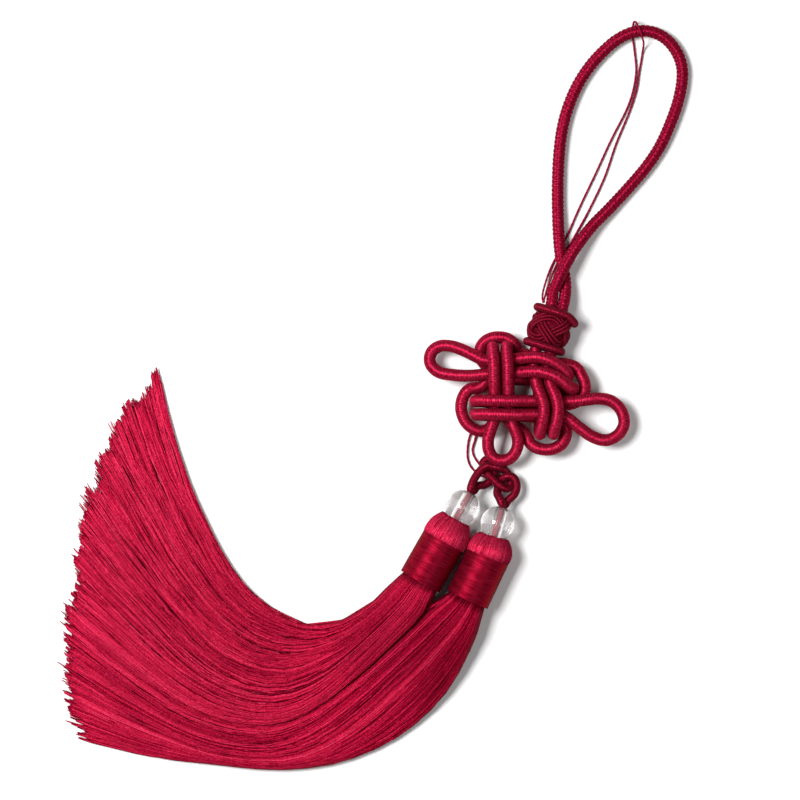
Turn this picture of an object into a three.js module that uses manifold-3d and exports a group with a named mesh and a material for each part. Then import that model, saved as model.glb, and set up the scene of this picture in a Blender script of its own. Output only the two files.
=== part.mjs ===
// A Chinese knot tassel, lying on a flat surface and seen from above: a braided hanging loop with a doubled
// string, a collar with a woven button, a good-luck knot tied from one satin cord, two link cords hooked into
// each other, two clear beads, and two tassels whose threads are swept into one fan.
// Millimetres. +Z is up from the surface, +Y points towards the hanging loop. The origin is on the surface,
// under the middle of everything but the free cords.
import * as THREE from "three";
import { mergeVertices } from "three/addons/utils/BufferGeometryUtils.js";
import Module from "manifold-3d";

const wasm = await Module();
wasm.setup();

// Driving sizes
const GAP = 0.3;                  // clearance between two pieces that touch
const KNOT_CORD = 3.5;            // diameter of the satin knot cord
const LOOP_CORD = 3.3;            // diameter of the braided loop
const STRING = 0.6;               // diameter of the thin strings
const LINK_CORD = 2.4;            // diameter of the link cords
const WRAP_CORD = 2.4;            // diameter of the collar's wraps
const BEAD = 10;                  // diameter of a bead
const BORE = 2.6;                 // diameter of a bead's bore
const STEM = 1.9;                 // diameter of the tassel's stem in the bore
const HEAD_RADIUS = 6.3;          // outside of a wound band, so the height of its axis over the surface
const BAND_LENGTH = 13.7;
const BAND_THICKNESS = 0.6;
const LOCKS_ACROSS = 20;
const LOCK_LAYERS = 2;

// Colours
const SATIN = { color: 0xb4143c, roughness: 0.42, metalness: 0 };
const BRAID = { color: 0xaa1237, roughness: 0.6, metalness: 0 };
const DEEP = { color: 0x74102c, roughness: 0.45, metalness: 0 };
const THREAD = { color: 0xbc1a3c, roughness: 0.5, metalness: 0 };
const BAND = { color: 0x98102f, roughness: 0.35, metalness: 0 };
const CRYSTAL = { color: 0xe9ecec, roughness: 0.05, metalness: 0 };

// The routes below are measured from a point a little off the part's origin
const LAID_AT = { x: 0.32, y: -0.99 };
const group = new THREE.Group();
group.position.set(LAID_AT.x, LAID_AT.y, 0);

function add(name, geometry, look) {
  const mesh = new THREE.Mesh(geometry, new THREE.MeshStandardMaterial(look));
  mesh.name = name;
  group.add(mesh);
  return mesh;
}

// A closed mesh as a solid that can be joined and cut, and back again
function toSolid(geometry) {
  const plain = geometry.clone();
  plain.deleteAttribute("normal");
  plain.deleteAttribute("uv");
  const merged = mergeVertices(plain, 1e-4);
  return new wasm.Manifold(new wasm.Mesh({
    numProp: 3,
    vertProperties: new Float32Array(merged.attributes.position.array),
    triVerts: new Uint32Array(merged.index.array),
  }));
}

function toGeometry(solid) {
  const mesh = solid.getMesh();
  const geometry = new THREE.BufferGeometry();
  geometry.setAttribute("position", new THREE.BufferAttribute(mesh.vertProperties, 3));
  geometry.setIndex(new THREE.BufferAttribute(mesh.triVerts, 1));
  geometry.computeVertexNormals();
  return geometry;
}

const vectors = (rows) => rows.map(([x, y, z]) => new THREE.Vector3(x, y, z));

function ring(radius, sides) {
  const points = [];
  for (let i = 0; i < sides; i += 1) {
    const angle = (2 * Math.PI * i) / sides;
    points.push(new THREE.Vector2(radius * Math.cos(angle), radius * Math.sin(angle)));
  }
  return new THREE.Shape(points);
}

// A cord: a round section swept along a curve
function cord(curve, diameter, sides, steps) {
  const along = { steps, extrudePath: curve, bevelEnabled: false };
  return new THREE.ExtrudeGeometry(ring(diameter / 2, sides), along);
}

const through = (points, closed = false) => new THREE.CatmullRomCurve3(points, closed, "centripetal");
const smooth = (rows, closed = false) => through(vectors(rows), closed);

// The collar between the loop and the knot, leaning to the right. Places in it are across, along and up.
const COLLAR = { middle: [57.9, 59.6, 6.6], lean: 17.2, half: 4, across: 5.8, deep: 4.8 };
const WRAP = { across: 4.3, deep: 3.5, sides: 8, steps: 22, bulgeOut: 1.3, bulgeDown: 1.6 };

function onCollar([across, along, up]) {
  const lean = THREE.MathUtils.degToRad(COLLAR.lean);
  const [x, y, z] = COLLAR.middle;
  return [
    x + across * Math.cos(lean) + along * Math.sin(lean),
    y - across * Math.sin(lean) + along * Math.cos(lean),
    z + up,
  ];
}

// Where the knot cord ends under the button, left of its middle for -1 and right of it for 1
const END = { apart: 0.05, below: 0.9 };
const collarEnd = (side) => onCollar([side * (KNOT_CORD / 2 + END.apart), -COLLAR.half - END.below, 0]);

// A wrap is one turn of cord round the collar. The top one bulges out and down at its right.
function wrapRoute(along, bulges) {
  const rows = [];
  for (let i = 0; i < WRAP.steps; i += 1) {
    const angle = (2 * Math.PI * i) / WRAP.steps;
    const bulge = bulges ? Math.max(0, Math.cos(angle)) ** 6 : 0;
    rows.push(onCollar([
      (WRAP.across + WRAP_CORD / 2) * Math.cos(angle) + WRAP.bulgeOut * bulge,
      along - WRAP.bulgeDown * bulge,
      (WRAP.deep + WRAP_CORD / 2) * Math.sin(angle),
    ]));
  }
  return rows;
}

const WRAP_ALONG = COLLAR.half + GAP + WRAP_CORD / 2;
const topWrap = wrapRoute(WRAP_ALONG, true);
const bottomWrap = wrapRoute(-WRAP_ALONG, false);

// The knot. Its weave has a front and a back layer, each of two upright and two level pairs of strands.
// Places are in the knot's own frame, x to the right and y up from its middle.
const KNOT_CENTRE = { x: 51.1, y: 43.0 };
const LEVEL = { backLow: 1.85, backHigh: 5.5, middle: 7.3, frontLow: 9.1, frontHigh: 12.7 };

// Where each front strand runs: its two ends and its two crossings, and the point between them
const FRONT = {
  leftOuter:   [[-9.2, 9.6], [-8.9, 6.2], [-8.8, 1.0], [-8.7, -5.3], [-9.6, -10.2]],
  leftInner:   [[-5.0, 9.9], [-4.8, 6.2], [-4.7, 1.0], [-4.8, -5.3], [-3.6, -10.2]],
  rightInner:  [[3.4, 10.6], [2.6, 6.4], [3.5, 0.0], [5.2, -5.5], [4.2, -11.8]],
  rightOuter:  [[7.4, 10.2], [6.7, 6.2], [7.8, 0.0], [9.1, -5.3], [8.1, -11.6]],
  topOuter:    [[-11.6, 7.6], [-6.8, 8.2], [-1.0, 8.5], [5.0, 8.7], [11.2, 5.6]],
  topInner:    [[-11.6, 3.4], [-6.8, 3.9], [-1.0, 4.5], [5.2, 4.6], [11.6, 0.9]],
  bottomInner: [[-13.0, -2.9], [-6.8, -3.1], [-1.0, -3.5], [5.2, -3.9], [11.0, -4.1]],
  bottomOuter: [[-13.0, -7.1], [-6.8, -7.3], [-1.0, -7.6], [5.2, -8.0], [11.0, -8.8]],
};

// Where each back strand runs
const BACK = {
  leftOuter:   [[-8.9, 9.4], [-8.8, 6.2], [-8.8, 1.0], [-8.8, -5.3], [-9.0, -9.8]],
  leftInner:   [[-5.0, 9.6], [-4.9, 6.2], [-4.9, 1.0], [-4.9, -5.3], [-4.4, -9.8]],
  rightInner:  [[3.9, 9.2], [4.0, 6.2], [4.3, 0.0], [4.6, -5.5], [4.4, -11.4]],
  rightOuter:  [[8.2, 9.6], [8.1, 6.0], [8.3, 0.0], [8.6, -5.4], [8.3, -11.2]],
  topOuter:    [[-10.8, 7.8], [-6.8, 8.1], [-1.0, 8.1], [6.0, 7.6], [11.0, 4.9]],
  topInner:    [[-10.6, 3.6], [-6.8, 3.9], [-1.0, 4.0], [6.0, 3.5], [11.3, 0.8]],
  bottomInner: [[-12.6, -3.1], [-6.8, -3.3], [-1.0, -3.6], [6.6, -3.8], [10.6, -4.0]],
  bottomOuter: [[-12.6, -7.2], [-6.8, -7.5], [-1.0, -7.8], [6.6, -8.1], [10.6, -8.9]],
};

// The knot's loops that stand out of the weave
const EARS = {
  topLeft:     [[-0.4, 10.6, 5.6], [-1.9, 12.3, 6.4], [-4.9, 13.8, 6.8], [-8.2, 13.4, 6.8],
                [-11.1, 11.3, 6.0]],
  left:        [[-14.9, 9.2, 8.6], [-18.2, 10.9, 7.8], [-21.6, 12.1, 6.8], [-25.2, 12.0, 5.8],
                [-27.6, 9.8, 5.3], [-27.6, 6.6, 5.2], [-25.2, 4.2, 5.6], [-21.2, 3.4, 6.6],
                [-16.2, 3.1, 7.8]],
  bottomLeft:  [[-13.0, 0.4, 5.6], [-15.9, -0.2, 6.2], [-18.0, -3.0, 6.4], [-18.5, -6.4, 6.4],
                [-17.1, -10.1, 5.8], [-14.2, -12.5, 4.4], [-11.2, -12.6, 3.4]],
  bottom:      [[-11.0, -15.0, 7.6], [-10.6, -18.7, 6.8], [-8.8, -20.9, 6.2], [-6.4, -21.4, 6.0],
                [-4.0, -20.6, 6.2], [-2.2, -18.2, 6.8], [-1.7, -15.0, 7.6]],
  bottomRight: [[-1.0, -11.2, 5.2], [0.9, -13.6, 6.4], [2.0, -16.0, 7.0], [4.4, -17.4, 7.2],
                [7.5, -17.4, 7.0], [10.0, -15.7, 6.4], [11.0, -12.8, 5.8]],
  right:       [[15.6, -12.1, 7.8], [19.2, -14.5, 6.8], [23.1, -15.5, 5.8], [26.8, -13.9, 5.3],
                [28.7, -10.4, 5.2], [27.6, -6.2, 5.5], [24.5, -3.5, 6.4], [20.3, -2.9, 7.6],
                [15.6, -3.6, 8.6]],
  topRight:    [[13.8, -3.6, 5.8], [16.2, -1.2, 6.4], [16.2, 1.8, 6.6], [14.6, 4.4, 6.4], [12.2, 7.0, 5.8]],
};

// How far a hook, where the cord turns from one layer into the other, stands out past the strand's end
const HOOK_OUT = { up: 1.2, down: 1.6, left: 1.7, right: 1.6 };
const HEADING = { up: [0, 1], down: [0, -1], left: [-1, 0], right: [1, 0] };

// The passes of the cord in their order. lane is the strand, rises says whether it goes over or under at the
// first and second crossing on its way, and next is what the cord does before the following pass.
const PASSES = [
  { layer: "front", lane: "rightInner", going: "down", rises: ["under", "over"], next: "hook" },
  { layer: "back", lane: "rightInner", going: "up", rises: ["under", "over"], next: "topLeft" },
  { layer: "back", lane: "topOuter", going: "right", rises: ["over", "under"], next: "hook" },
  { layer: "front", lane: "topOuter", going: "left", rises: ["over", "under"], next: "left" },
  { layer: "front", lane: "topInner", going: "right", rises: ["under", "over"], next: "hook" },
  { layer: "back", lane: "topInner", going: "left", rises: ["under", "over"], next: "bottomLeft" },
  { layer: "back", lane: "leftOuter", going: "up", rises: ["over", "under"], next: "hook" },
  { layer: "front", lane: "leftOuter", going: "down", rises: ["over", "under"], next: "bottom" },
  { layer: "front", lane: "leftInner", going: "up", rises: ["under", "over"], next: "hook" },
  { layer: "back", lane: "leftInner", going: "down", rises: ["under", "over"], next: "bottomRight" },
  { layer: "back", lane: "bottomOuter", going: "left", rises: ["over", "under"], next: "hook" },
  { layer: "front", lane: "bottomOuter", going: "right", rises: ["over", "under"], next: "right" },
  { layer: "front", lane: "bottomInner", going: "left", rises: ["under", "over"], next: "hook" },
  { layer: "back", lane: "bottomInner", going: "right", rises: ["under", "over"], next: "topRight" },
  { layer: "back", lane: "rightOuter", going: "down", rises: ["over", "under"], next: "hook" },
  { layer: "front", lane: "rightOuter", going: "up", rises: ["over", "under"], next: "end" },
];

const onKnot = ([x, y, z]) => [KNOT_CENTRE.x + x, KNOT_CENTRE.y + y, z];

// The heights of a pass at its five points: its ends and its middle lie between the two levels
function heights(pass) {
  const low = LEVEL[`${pass.layer}Low`];
  const high = LEVEL[`${pass.layer}High`];
  const [first, second] = pass.rises.map((way) => (way === "over" ? high : low));
  return [(first + LEVEL.middle) / 2, first, (first + second) / 2, second, (second + LEVEL.middle) / 2];
}

function knotRoute() {
  const route = [collarEnd(-1)];
  for (const pass of PASSES) {
    const lane = (pass.layer === "front" ? FRONT : BACK)[pass.lane];
    const backwards = pass.going === "up" || pass.going === "left";
    const level = heights(pass);
    const plan = backwards ? [...lane].reverse() : lane;
    plan.forEach(([x, y], i) => route.push(onKnot([x, y, level[i]])));
    if (pass.next === "hook") {
      const [x, y] = plan[plan.length - 1];
      const [dx, dy] = HEADING[pass.going];
      const out = HOOK_OUT[pass.going];
      route.push(onKnot([x + dx * out, y + dy * out, LEVEL.middle]));
    } else if (pass.next === "end") {
      route.push(collarEnd(1));
    } else {
      route.push(...EARS[pass.next].map(onKnot));
    }
  }
  return route;
}

// Cords as they settle: a cord is stiff, its strands lie against each other and none lies in another.
// Each round pushes strands that are too near apart, evens out how far they are pushed, eases bends a little
// and keeps the cords off the surface. keep is how firmly a cord holds to the route it was laid on. The ends
// stay where they are, and so do the points of the cords that are given as fixed.
const SETTLE = { rounds: 400, clear: 0.45, along: 1.5, push: 0.5, even: 0.25, ease: 0.03, floor: 0.12 };

const halfway = (a, b) => a.clone().add(b).multiplyScalar(0.5);

function settle(cords, fixed = []) {
  const beads = [];
  for (const [which, { rows, diameter, step, keep }] of cords.entries()) {
    const curve = smooth(rows);
    const count = Math.round(curve.getLength() / step);
    const apart = Math.ceil((SETTLE.along * diameter) / step);
    const laid = curve.getSpacedPoints(count);
    laid.forEach((wanted, i) => {
      const held = i === 0 || i === count;
      const bend = held ? null : halfway(laid[i - 1], laid[i + 1]).sub(wanted);
      beads.push({ which, i, apart, diameter, keep, held, wanted, bend, point: wanted.clone() });
    });
  }
  const moving = beads.length;
  for (const { points, diameter } of fixed) {
    points.forEach((point, i) => beads.push({ which: -1, i, diameter, point, held: true }));
  }
  const between = new THREE.Vector3();
  for (let round = 0; round < SETTLE.rounds; round += 1) {
    const shift = beads.map(() => new THREE.Vector3());
    for (let i = 0; i < moving; i += 1) {
      for (let j = i + 1; j < beads.length; j += 1) {
        const [a, b] = [beads[i], beads[j]];
        if (a.which !== b.which || b.i - a.i >= a.apart) {
          const room = (a.diameter + b.diameter) / 2 + SETTLE.clear;
          between.subVectors(b.point, a.point);
          const distance = between.length();
          if (distance < room) {
            between.multiplyScalar((SETTLE.push * (room - distance)) / distance);
            shift[i].sub(between);
            shift[j].add(between);
          }
        }
      }
    }
    for (let i = 0; i < moving; i += 1) {
      const { point, wanted, bend, held, keep } = beads[i];
      if (!held) {
        between.copy(halfway(beads[i - 1].point, beads[i + 1].point)).sub(point);
        shift[i].addScaledVector(between, SETTLE.even + SETTLE.ease);
        shift[i].addScaledVector(bend, -SETTLE.even);
        between.subVectors(wanted, point);
        shift[i].addScaledVector(between, keep);
      }
    }
    for (let i = 0; i < moving; i += 1) {
      const { point, held, diameter } = beads[i];
      if (!held) {
        point.add(shift[i]);
        point.z = Math.max(point.z, diameter / 2 + SETTLE.floor);
      }
    }
  }
  return cords.map((_, which) => beads.filter((bead) => bead.which === which).map((bead) => bead.point));
}

// Free cords. Each route is laid by hand from the collar round and back into it.
const LOOP_ROUTE = [
  onCollar([-1.75, 4.35, 0]), onCollar([-1.75, 7.0, 0]),
  [59.3, 70.9, 5.9], [61.1, 75.0, 6.2], [63.1, 79.1, 6.0],
  [66.0, 83.7, 4.9], [70.1, 89.0, 3.3], [75.3, 94.3, 2.2], [81.2, 100.7, 1.75], [86.1, 106.5, 1.75],
  [89.9, 112.3, 1.75], [92.8, 118.7, 1.75], [94.9, 124.6, 1.75], [96.1, 130.4, 1.75], [96.1, 135.1, 1.75],
  [94.3, 139.7, 1.8], [91.1, 143.2, 2.1], [87.0, 145.0, 2.5], [82.9, 145.0, 2.5], [78.3, 143.2, 2.2],
  [74.2, 140.0, 1.8], [70.1, 135.6, 1.75], [66.6, 130.4, 1.75], [63.7, 124.0, 1.75], [61.9, 117.6, 1.75],
  [60.9, 110.0, 1.75], [60.5, 101.2, 1.75], [60.5, 95.4, 1.8], [60.7, 88.0, 2.5], [61.1, 82.3, 2.9],
  [61.9, 77.1, 3.0], [62.6, 72.3, 3.8], onCollar([1.75, 7.0, -0.4]), onCollar([1.75, 4.35, 0]),
];
const STRING_ROUTE = [
  onCollar([-3.9, 6.9, -1.2]), [56.1, 69.6, 3.0], [57.4, 74.3, 1.2], [59.0, 78.3, 0.35], [61.6, 83.1, 0.35],
  [63.1, 86.1, 0.35], [66.6, 94.2, 0.35], [71.3, 104.1, 0.35], [75.9, 114.1, 0.35], [80.6, 123.4, 0.35],
  [82.3, 128.6, 0.35], [83.1, 133.9, 0.35], [82.7, 138.8, 0.35], [82.2, 143.0, 0.35], [82.1, 146.3, 0.4],
  [82.4, 147.9, 2.3], [83.0, 147.0, 4.6], [83.8, 145.0, 5.2], [84.6, 142.9, 4.7], [85.1, 141.4, 2.6],
  [85.0, 140.0, 0.8], [84.6, 137.2, 0.35], [83.9, 133.3, 0.35], [83.2, 128.6, 0.35], [81.5, 123.1, 0.35],
  [77.3, 112.9, 0.35], [74.1, 103.6, 0.35], [69.7, 94.2, 0.35], [66.2, 87.8, 0.35], [64.3, 84.5, 0.35],
  [60.4, 78.6, 0.35], [58.6, 74.4, 1.3], [56.9, 69.6, 3.4], onCollar([-3.8, 6.9, 0.8]),
];
const LINK_STRING_ROUTE = [
  [37.4, 31.4, 0.9], [36.9, 28.2, 0.6], [36.4, 25.4, 0.5], [36.9, 23.4, 0.4], [38.0, 21.7, 0.4],
  [39.3, 20.1, 0.4], [40.2, 18.7, 0.4], [39.0, 18.2, 0.4], [37.1, 19.3, 0.4], [35.7, 20.9, 0.4],
  [35.0, 23.0, 0.4], [34.9, 25.4, 0.5], [35.2, 28.1, 0.6], [36.0, 31.0, 0.9],
];
const LINK_LEFT_ROUTE = [
  [35.41, 14.1, 7.65], [36.0, 15.7, 6.5], [37.4, 18.1, 4.8], [39.6, 20.1, 4.0], [41.9, 20.4, 4.0],
  [44.1, 19.4, 2.9], [45.9, 17.7, 1.3], [46.9, 15.7, 1.2], [46.1, 13.9, 1.9], [44.4, 14.1, 3.4],
  [42.9, 15.7, 4.2], [41.4, 17.6, 3.6], [40.3, 19.4, 1.4], [39.3, 21.4, 1.2], [40.4, 22.7, 1.2],
  [42.1, 22.0, 1.2], [42.9, 20.3, 1.3], [42.7, 18.3, 1.25], [41.6, 16.4, 1.3], [39.6, 15.1, 2.3],
  [38.0, 15.1, 3.9], [37.0, 14.6, 4.7], [36.45, 13.51, 4.95],
];
const LINK_RIGHT_ROUTE = [
  [44.29, 9.9, 7.65], [44.2, 11.5, 6.2], [43.7, 13.2, 3.8], [43.5, 14.8, 1.7], [44.0, 16.8, 2.2],
  [45.1, 18.2, 3.5], [46.9, 18.4, 3.9], [48.4, 16.9, 4.0], [48.7, 14.6, 4.3], [47.9, 12.5, 4.6],
  [46.4, 11.2, 4.9], [45.7, 10.5, 4.95], [45.44, 9.53, 4.95],
];

// The tassels. Points of a head: the middle of its band's foot and top, and the middle of its bead.
// from and to are the edges of the fan on the surface, from the band's foot to the cut ends.
const PARTING = 0.9;              // between the two fans
const SHARED_EDGE = [
  [21.3, -24.6], [10.7, -36.0], [2.6, -41.7], [-9.7, -45.7], [-20.4, -46.0], [-30.1, -43.7],
  [-41.9, -38.3], [-56.1, -29.1], [-67.6, -22.6], [-79.6, -15.4],
];
const TASSELS = [
  {
    side: "left", seed: 1, foot: [21.1, -12.3], top: [27.9, -0.4], bead: [33.1, 8.8], bulge: 5.6,
    from: [[15.7, -9.2], [6.7, -19.7], [-2.3, -24.2], [-11.3, -24.2], [-19.5, -20.5], [-28.5, -13.9],
           [-35.1, -4.9], [-41.7, 8.2], [-46.6, 20.5], [-50.7, 34.4], [-54.0, 49.2]],
    to: [[26.5, -15.4], ...SHARED_EDGE],
  },
  {
    side: "right", seed: 101, foot: [34.5, -17.4], top: [40.5, -4.7], bead: [43.2, 4.2], bulge: 4.6,
    from: [[28.9, -14.7], ...SHARED_EDGE.map(([x, y]) => [x + PARTING / 2, y - PARTING])],
    to: [[40.1, -20.1], [35.3, -32.0], [31.0, -40.6], [26.7, -46.7], [19.0, -54.0], [10.7, -59.4],
         [-1.6, -64.3], [-13.9, -66.3], [-23.6, -66.4], [-38.4, -64.3], [-54.7, -62.3], [-75.3, -57.4]],
  },
];

const flat = ([x, y], z = HEAD_RADIUS) => new THREE.Vector3(x, y, z);

// A solid of revolution whose own axis runs from one point towards another
function turned(profile, from, towards, segments) {
  const outline = profile.map(([radius, along]) => new THREE.Vector2(radius, along));
  const geometry = new THREE.LatheGeometry(outline, segments);
  const axis = towards.clone().sub(from).normalize();
  const turn = new THREE.Quaternion().setFromUnitVectors(new THREE.Vector3(0, 1, 0), axis);
  return geometry.applyQuaternion(turn).translate(from.x, from.y, from.z);
}

// Points of an arc in a profile: middle on the axis at along, from one angle to another
function arc(radius, along, fromAngle, toAngle, steps) {
  const points = [];
  for (let i = 0; i <= steps; i += 1) {
    const angle = fromAngle + ((toAngle - fromAngle) * i) / steps;
    points.push([radius * Math.sin(angle), along + radius * Math.cos(angle)]);
  }
  return points;
}

// How many sides the turned pieces have
const SIDES = { bead: 18, head: 20, stem: 8 };
const BEAD_STEPS = 10;

function addBead(tassel) {
  const centre = flat(tassel.bead);
  const mouth = Math.asin(BORE / BEAD);
  const shell = arc(BEAD / 2, 0, mouth, Math.PI - mouth, BEAD_STEPS);
  const profile = [...shell, shell[0]].reverse();
  const onward = centre.clone().sub(flat(tassel.top)).add(centre);
  add(`bead_${tassel.side}`, turned(profile, centre, onward, SIDES.bead), CRYSTAL);
}

// A band's edges are rounded off by this much across and along
const EDGE = { across: 0.15, along: 0.3 };

function addBand(tassel) {
  const inner = HEAD_RADIUS - BAND_THICKNESS;
  const profile = [
    [inner, 0], [HEAD_RADIUS - EDGE.across, 0], [HEAD_RADIUS, EDGE.along],
    [HEAD_RADIUS, BAND_LENGTH - EDGE.along], [HEAD_RADIUS - EDGE.across, BAND_LENGTH],
    [inner, BAND_LENGTH], [inner, 0],
  ];
  add(`band_${tassel.side}`, turned(profile, flat(tassel.foot), flat(tassel.top), SIDES.head), BAND);
}

// The head is a core under the band, standing out past it at both ends, with the crown of folded threads on
// it. The crown narrows to a cup round the bead's foot, and the stem runs from it through the bead.
const HEAD = {
  core: HEAD_RADIUS - BAND_THICKNESS - GAP, belowBand: 1.8, aboveBand: 1.6,
  cup: BEAD / 2 + GAP, rimAt: 0.8 * Math.PI, cupSteps: 3,
  stemRoot: 1, stemShort: 0.1,
};

// The crown's outside: how far it is inside the head's radius, at a share of the way from its foot to the rim
const CROWN_FOOT = 1.4;
const CROWN = [
  { inset: 0.5, share: 0 },
  { inset: 0.1, share: 0.17 },
  { inset: 0.4, share: 0.5 },
  { inset: 1.5, share: 0.87 },
];
const RIM = { wider: 0.9, higher: 0.3 };

function headSolid(tassel) {
  const [foot, top, bead] = [flat(tassel.foot), flat(tassel.top), flat(tassel.bead)];
  const below = foot.clone().addScaledVector(top.clone().sub(foot).normalize(), -HEAD.belowBand);
  const length = HEAD.belowBand + BAND_LENGTH + HEAD.aboveBand;
  const core = turned([[0, 0], [HEAD.core, 0], [HEAD.core, length], [0, length]], below, top, SIDES.head);
  const reach = bead.distanceTo(top);
  const seat = arc(HEAD.cup, reach, Math.PI, HEAD.rimAt, HEAD.cupSteps).reverse();
  const [rimRadius, rimAlong] = seat[0];
  const outside = CROWN.map(({ inset, share }) => [
    HEAD_RADIUS - inset, THREE.MathUtils.lerp(CROWN_FOOT, rimAlong, share),
  ]);
  const rim = [rimRadius + RIM.wider, rimAlong + RIM.higher];
  const crown = turned([[0, CROWN_FOOT], ...outside, rim, ...seat], top, bead, SIDES.head);
  const [low, high] = [reach - BEAD / 2 - HEAD.stemRoot, reach + BEAD / 2 - HEAD.stemShort];
  const stem = turned([[0, low], [STEM / 2, low], [STEM / 2, high], [0, high]], top, bead, SIDES.stem);
  return toSolid(core).add(toSolid(crown)).add(toSolid(stem));
}

// One lock of threads: a three-sided strand with its flat side down, from its stations' sections
function lockGeometry(sections) {
  const positions = sections.flatMap((section) => section.flatMap((point) => point.toArray()));
  const index = [0, 1, 2];
  const last = 3 * (sections.length - 1);
  for (let i = 0; i < last; i += 3) {
    for (let k = 0; k < 3; k += 1) {
      const next = (k + 1) % 3;
      index.push(i + k, i + 3 + next, i + next, i + k, i + 3 + k, i + 3 + next);
    }
  }
  index.push(last + 2, last + 1, last);
  const geometry = new THREE.BufferGeometry();
  geometry.setAttribute("position", new THREE.Float32BufferAttribute(positions, 3));
  geometry.setIndex(index);
  return geometry;
}

// The bundle of threads is round under the band and settles to a low pile on the surface. Its locks are
// rooted inside the head, in a block that is narrower than the head and half as high.
const PILE = {
  stations: [0, 0.03, 0.13, 0.25, 0.38, 0.52, 0.67, 0.83, 1],
  settled: 0.32, near: 7.4, far: 3.2, edge: 0.35,
  rootAcross: 0.7, rootHigh: 0.42,
  layerFill: 0.86, lockGap: 0.22, ragged: 0.035,
};

const smoothstep = (t) => THREE.MathUtils.smoothstep(t, 0, 1);

// Bottom and top of the bundle at a place across it, from -1 to 1, and at a share of its length
function pileHeights(across, share) {
  if (share === 0) return [HEAD_RADIUS * (1 - PILE.rootHigh), HEAD_RADIUS * (1 + PILE.rootHigh)];
  const round = Math.sqrt(Math.max(0, 1 - across * across));
  const fallen = smoothstep(share / PILE.settled);
  const low = HEAD_RADIUS * (1 - round) * (1 - fallen);
  const pile = THREE.MathUtils.lerp(PILE.near, PILE.far, share) * (PILE.edge + (1 - PILE.edge) * round);
  const high = HEAD_RADIUS * (1 + round) * (1 - fallen) + pile * fallen;
  return [low, high];
}

// An even spread of values between 0 and 1, the same on every run
const scatter = (seed) => Math.abs(Math.sin(seed * 12.9898) * 43758.5453) % 1;

function lockSections(tassel, from, to, column, layer) {
  const offset = layer === 1 ? 0.5 : 0;
  const columns = LOCKS_ACROSS - (layer === 1 ? 1 : 0);
  if (column >= columns) return null;
  const reach = 1 - PILE.ragged * scatter(tassel.seed + column + layer * LOCKS_ACROSS);
  const place = (column + 0.5 + offset) / LOCKS_ACROSS;
  const across = 2 * place - 1;
  const sections = [];
  for (const station of PILE.stations) {
    const share = reach * station;
    const a = from.getPointAt(share);
    const b = to.getPointAt(share);
    const side = b.clone().sub(a);
    const narrow = share === 0 ? PILE.rootAcross : 1;
    const half = (narrow * side.length() / LOCKS_ACROSS - PILE.lockGap) / 2;
    const onward = from.getTangentAt(share).lerp(to.getTangentAt(share), place).normalize();
    const bulge = tassel.bulge * 4 * place * (1 - place) * share ** 3;
    const middle = a.clone().lerp(b, 0.5 + (place - 0.5) * narrow).addScaledVector(onward, bulge);
    side.normalize();
    const [low, high] = pileHeights(across, share);
    const thick = (high - low) / LOCK_LAYERS;
    const foot = low + thick * layer;
    const ridge = foot + thick * PILE.layerFill;
    sections.push([
      middle.clone().addScaledVector(side, -half).setZ(foot),
      middle.clone().setZ(ridge),
      middle.clone().addScaledVector(side, half).setZ(foot),
    ]);
  }
  return sections;
}

function addTassel(tassel) {
  const edge = (rows) => through(rows.map((row) => flat(row, 0)));
  const [from, to] = [edge(tassel.from), edge(tassel.to)];
  const pieces = [headSolid(tassel)];
  for (let layer = 0; layer < LOCK_LAYERS; layer += 1) {
    for (let column = 0; column < LOCKS_ACROSS; column += 1) {
      const sections = lockSections(tassel, from, to, column, layer);
      if (sections) pieces.push(toSolid(lockGeometry(sections)));
    }
  }
  add(`tassel_${tassel.side}`, toGeometry(wasm.Manifold.union(pieces)), THREAD);
}

// The woven button: a barrel whose face is raised in crossing passes of three strands each
const WEAVE = { columns: 32, rows: 10, passes: 4, raise: 0.35, taper: 0.62 };

function addButton() {
  const positions = [];
  const index = [];
  const at = (column, row) => 1 + row * WEAVE.columns + (column % WEAVE.columns);
  positions.push(...onCollar([0, -COLLAR.half, 0]));
  for (let row = 0; row <= WEAVE.rows; row += 1) {
    const rise = (2 * row) / WEAVE.rows - 1;
    const round = Math.sqrt(1 - WEAVE.taper * rise * rise);
    const atEnd = row === 0 || row === WEAVE.rows;
    for (let column = 0; column < WEAVE.columns; column += 1) {
      const angle = (2 * Math.PI * column) / WEAVE.columns;
      const crossing = Math.abs(Math.cos(WEAVE.passes * angle) * Math.cos(Math.PI * rise));
      const raised = atEnd ? 0 : WEAVE.raise * crossing;
      positions.push(...onCollar([
        (COLLAR.across * round + raised) * Math.cos(angle),
        COLLAR.half * rise,
        (COLLAR.deep * round + raised) * Math.sin(angle),
      ]));
    }
  }
  const topMiddle = positions.length / 3;
  positions.push(...onCollar([0, COLLAR.half, 0]));
  for (let column = 0; column < WEAVE.columns; column += 1) {
    index.push(0, at(column, 0), at(column + 1, 0));
    for (let row = 0; row < WEAVE.rows; row += 1) {
      index.push(at(column, row), at(column, row + 1), at(column + 1, row + 1));
      index.push(at(column, row), at(column + 1, row + 1), at(column + 1, row));
    }
    index.push(topMiddle, at(column + 1, WEAVE.rows), at(column, WEAVE.rows));
  }
  const geometry = new THREE.BufferGeometry();
  geometry.setAttribute("position", new THREE.Float32BufferAttribute(positions, 3));
  geometry.setIndex(index);
  add("collar_button", geometry, DEEP);
}

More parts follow.
